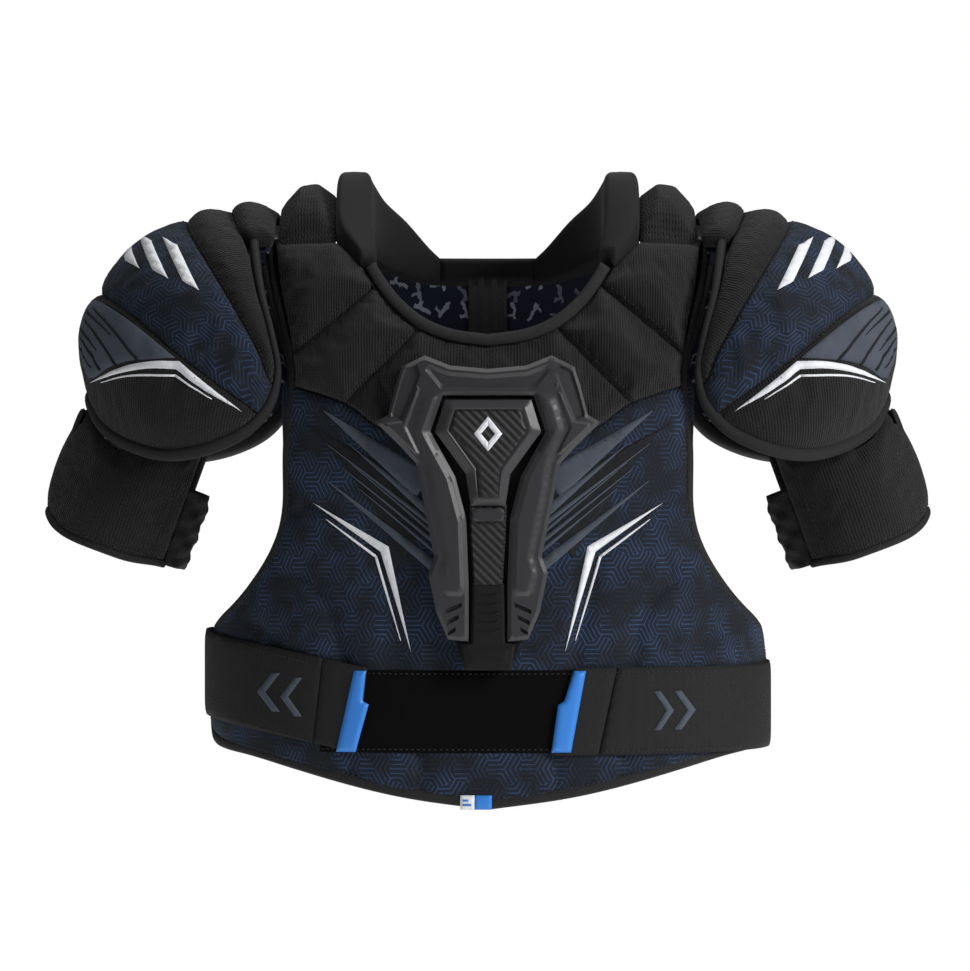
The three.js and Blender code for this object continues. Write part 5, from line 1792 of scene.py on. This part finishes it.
# Brushed loop nylon: the deepest black, with a nap that swallows light.
loop_nap, nap_tree, nap_surface = material("brushed_loop_nylon", Roughness=0.95, Specular_IOR_Level=0.1)
nap = node(nap_tree, "ShaderNodeTexNoise", inputs={"Scale": 700.0, "Detail": 4.0, "Roughness": 0.7})
nap_tint = node(
    nap_tree, "ShaderNodeMix", {"data_type": "RGBA"},
    {"Factor": nap.outputs["Fac"], 6: linear("#020202"), 7: linear("#080808")}
)
nap_bump = node(
    nap_tree, "ShaderNodeBump", inputs={"Strength": 0.8, "Distance": 0.0004, "Height": nap.outputs["Fac"]}
)
nap_tree.links.new(nap_tint.outputs[2], nap_surface.inputs["Base Color"])
nap_tree.links.new(nap_bump.outputs[0], nap_surface.inputs["Normal"])
loop_rim = on_girth(
    straight(
        [
            (-LOOP_HALF, LOOP_TOP), (LOOP_HALF, LOOP_TOP), (LOOP_HALF, LOOP_BOTTOM),
            (-LOOP_HALF, LOOP_BOTTOM),
        ],
        3,
    )
)
loop_panel = quilt(
    "belly_loop_cloth", loop_rim, "front", loop_nap, "loop", low=7.5, edge=11.6, high=12.2, roll=3
)
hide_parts("belly_loop_panel")
stitches(
    "loop_panel_stitches",
    [
        on_girth(resample([(-LOOP_HALF + 2, z), (LOOP_HALF - 2, z)], 3))
        for z in (LOOP_TOP - 2.4, LOOP_BOTTOM + 2.4)
    ],
    over_surface([loop_panel]), "front", "loop",
)

# Thermoplastic rubber: satin cobalt blue, darker in its recesses.
blue_rubber, rubber_tree, rubber_surface = material(
    "moulded_blue_rubber", Roughness=0.45, Specular_IOR_Level=0.45
)
rubber_worn = node(rubber_tree, "ShaderNodeTexNoise", inputs={"Scale": 120.0, "Detail": 4.0})
rubber_tint = node(
    rubber_tree, "ShaderNodeMix", {"data_type": "RGBA"},
    {"Factor": rubber_worn.outputs["Fac"], 6: linear("#1c5fae"), 7: linear("#2f7fd0")}
)
rubber_bump = node(
    rubber_tree, "ShaderNodeBump",
    inputs={"Strength": 0.2, "Distance": 0.0002, "Height": rubber_worn.outputs["Fac"]},
)
rubber_tree.links.new(rubber_tint.outputs[2], rubber_surface.inputs["Base Color"])
rubber_tree.links.new(rubber_bump.outputs[0], rubber_surface.inputs["Normal"])

for side, sign in SIDES.items():
    end, climb, lean = STRAP_FIT[side]
    root = end + TAB

    def low_edge(x):
        return STRAP_MIDDLE - STRAP_TALL / 2 + climb * (min(x, 190) - end)

    def strip(s0, s1, lean0, lean1):
        """A strap's outline between two places round the girth, following its climb."""
        lower = [
            (s, low_edge(GIRTH * math.sin(min(s / GIRTH, math.pi / 2))))
            for s in np.linspace(s0 + lean0, s1 + lean1, 30)
        ]
        upper = [
            (s, low_edge(GIRTH * math.sin(min(s / GIRTH, math.pi / 2))) + STRAP_TALL)
            for s in np.linspace(s1, s0, 30)
        ]
        return resample(np.vstack([lower, upper, lower[:1]]), 3)[:-1]

    s_end, s_root = float(girth(end)), float(girth(root))
    strap = quilt(
        f"{side}_belly_strap_elastic", mirrored(strip(s_root + 0.4, STRAP_END, lean, 0), sign),
        f"{side}_belly_strap", elastic_knit, "elastic", low=12, edge=13.2, high=14.2, roll=3,
    )
    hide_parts(f"{side}_belly_strap")
    tab = quilt(
        f"{side}_hook_tab_cloth", mirrored(strip(s_end, s_root - 0.2, lean, lean), sign),
        f"{side}_hook_tab", elastic_knit, "elastic", low=12.4, edge=13.4, high=14.4, roll=3, pitch=2.6,
    )
    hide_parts(f"{side}_hook_tab")
    anchor = quilt(
        f"{side}_strap_anchor_patch", mirrored(strip(STRAP_END + 1, ANCHOR_END, 0, 0), sign), "back",
        elastic_knit, "elastic", low=9.8, edge=12.4, high=13.6, roll=3,
    )
    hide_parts(f"{side}_strap_anchor")
    low = low_edge(end)
    pull_shape = [
        (end + lean, low + 2), (end + 13 + lean, low + 2), (end + 9, low + STRAP_TALL - 2),
        (end + 1, low + STRAP_TALL - 2), (end + lean * 0.4, low + 0.62 * STRAP_TALL),
        (end - 4 + lean * 0.4, low + 0.58 * STRAP_TALL),
    ]
    pull = quilt(
        f"{side}_pull_tab_rubber", mirrored(on_girth(straight(pull_shape, 1.6)), sign), f"{side}_hook_tab",
        blue_rubber, "blue_rubber", low=14, edge=14.8, high=16.6, roll=1.2, pitch=1.8,
    )
    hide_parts(f"{side}_pull_tab")
    rows = [
        mirrored(resample([(s_root + lean + 6, low_edge(root) + e), (200, low_edge(170) + e)], 3), sign)
        for e in (3, STRAP_TALL - 3)
    ]
    strap_skin = over_surface([strap, tab])
    stitches(f"{side}_strap_stitches", rows, strap_skin, f"{side}_belly_strap", "elastic")
    mark_x = root + (24 if side == "left" else 14)
    marks = []
    for step in range(2):
        x = mark_x + 14 * step
        z = low_edge(x) + STRAP_TALL / 2
        marks.append(
            mirrored(
                on_girth(
                    straight(
                        [
                            (x, z - 13), (x + 5, z - 13), (x + 14, z), (x + 5, z + 13), (x, z + 13),
                            (x + 9, z),
                        ],
                        2,
                    )
                ),
                sign,
            )
        )
    ink(f"{side}_strap_marks", marks, strap_skin, slate_ink, f"{side}_belly_strap", "elastic")


# ---- Size label: a folded woven ribbon caught in the hem, half blue and half white ----
# Its lettering is left out: plain bars stand for it.

label_x, label_low, label_high = -8, -389, 9.5
halves = {
    "label_blue_half": (
        [
            (label_x - 10.5, label_low), (label_x - 1, label_low), (label_x - 1, label_low + label_high),
            (label_x - 10.5, label_low + label_high),
        ],
        white_ink,
    ),
    "label_white_half": (
        [
            (label_x - 1, label_low), (label_x + 10.5, label_low), (label_x + 10.5, label_low + label_high),
            (label_x - 1, label_low + label_high),
        ],
        blue_rubber,
    ),
}
label_pieces = [
    quilt(
        name, straight(shape, 1.6), "front", finish, "label", low=9.8, edge=10.4, high=11, roll=1, pitch=1.8
    )
    for name, (shape, finish) in halves.items()
]
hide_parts("size_label")
bars = [
    straight([(x, z), (x + w, z), (x + w, z + 1.4), (x, z + 1.4)], 1.2)
    for x, z, w in ((-17, -386.5, 6), (-17, -383.6, 4))
]
ink("label_bars", bars, over_surface(label_pieces), blue_rubber, "front", "label", lift=0.25, pitch=1.2)


# ---- Hidden structure: EVA foam under the sternum guard, moulded inserts in caps and guards ----
# They keep their frame shapes, and take the finish that a cut edge shows.

eva_foam, foam_tree, foam_surface = material("eva_foam", Roughness=0.9, Specular_IOR_Level=0.2)
foam_cells = node(foam_tree, "ShaderNodeTexVoronoi", inputs={"Scale": 900.0})
# The cell pits are painted darker and the cell walls lighter, as painted shade in the foam's cells.
foam_pit_shading = node(
    foam_tree, "ShaderNodeMix", {"data_type": "RGBA"},
    {"Factor": foam_cells.outputs["Distance"], 6: linear("#0d0d0e"), 7: linear("#1b1b1d")},
)
foam_bump = node(
    foam_tree, "ShaderNodeBump",
    inputs={"Strength": 0.5, "Distance": 0.0003, "Height": foam_cells.outputs["Distance"]},
)
foam_tree.links.new(foam_pit_shading.outputs[2], foam_surface.inputs["Base Color"])
foam_tree.links.new(foam_bump.outputs[0], foam_surface.inputs["Normal"])
for name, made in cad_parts.items():
    finish = eva_foam if name == "sternum_foam" else moulded_black if name.endswith("insert") else None
    if finish:
        for slot_index in range(len(made.material_slots)):
            made.material_slots[slot_index].material = finish
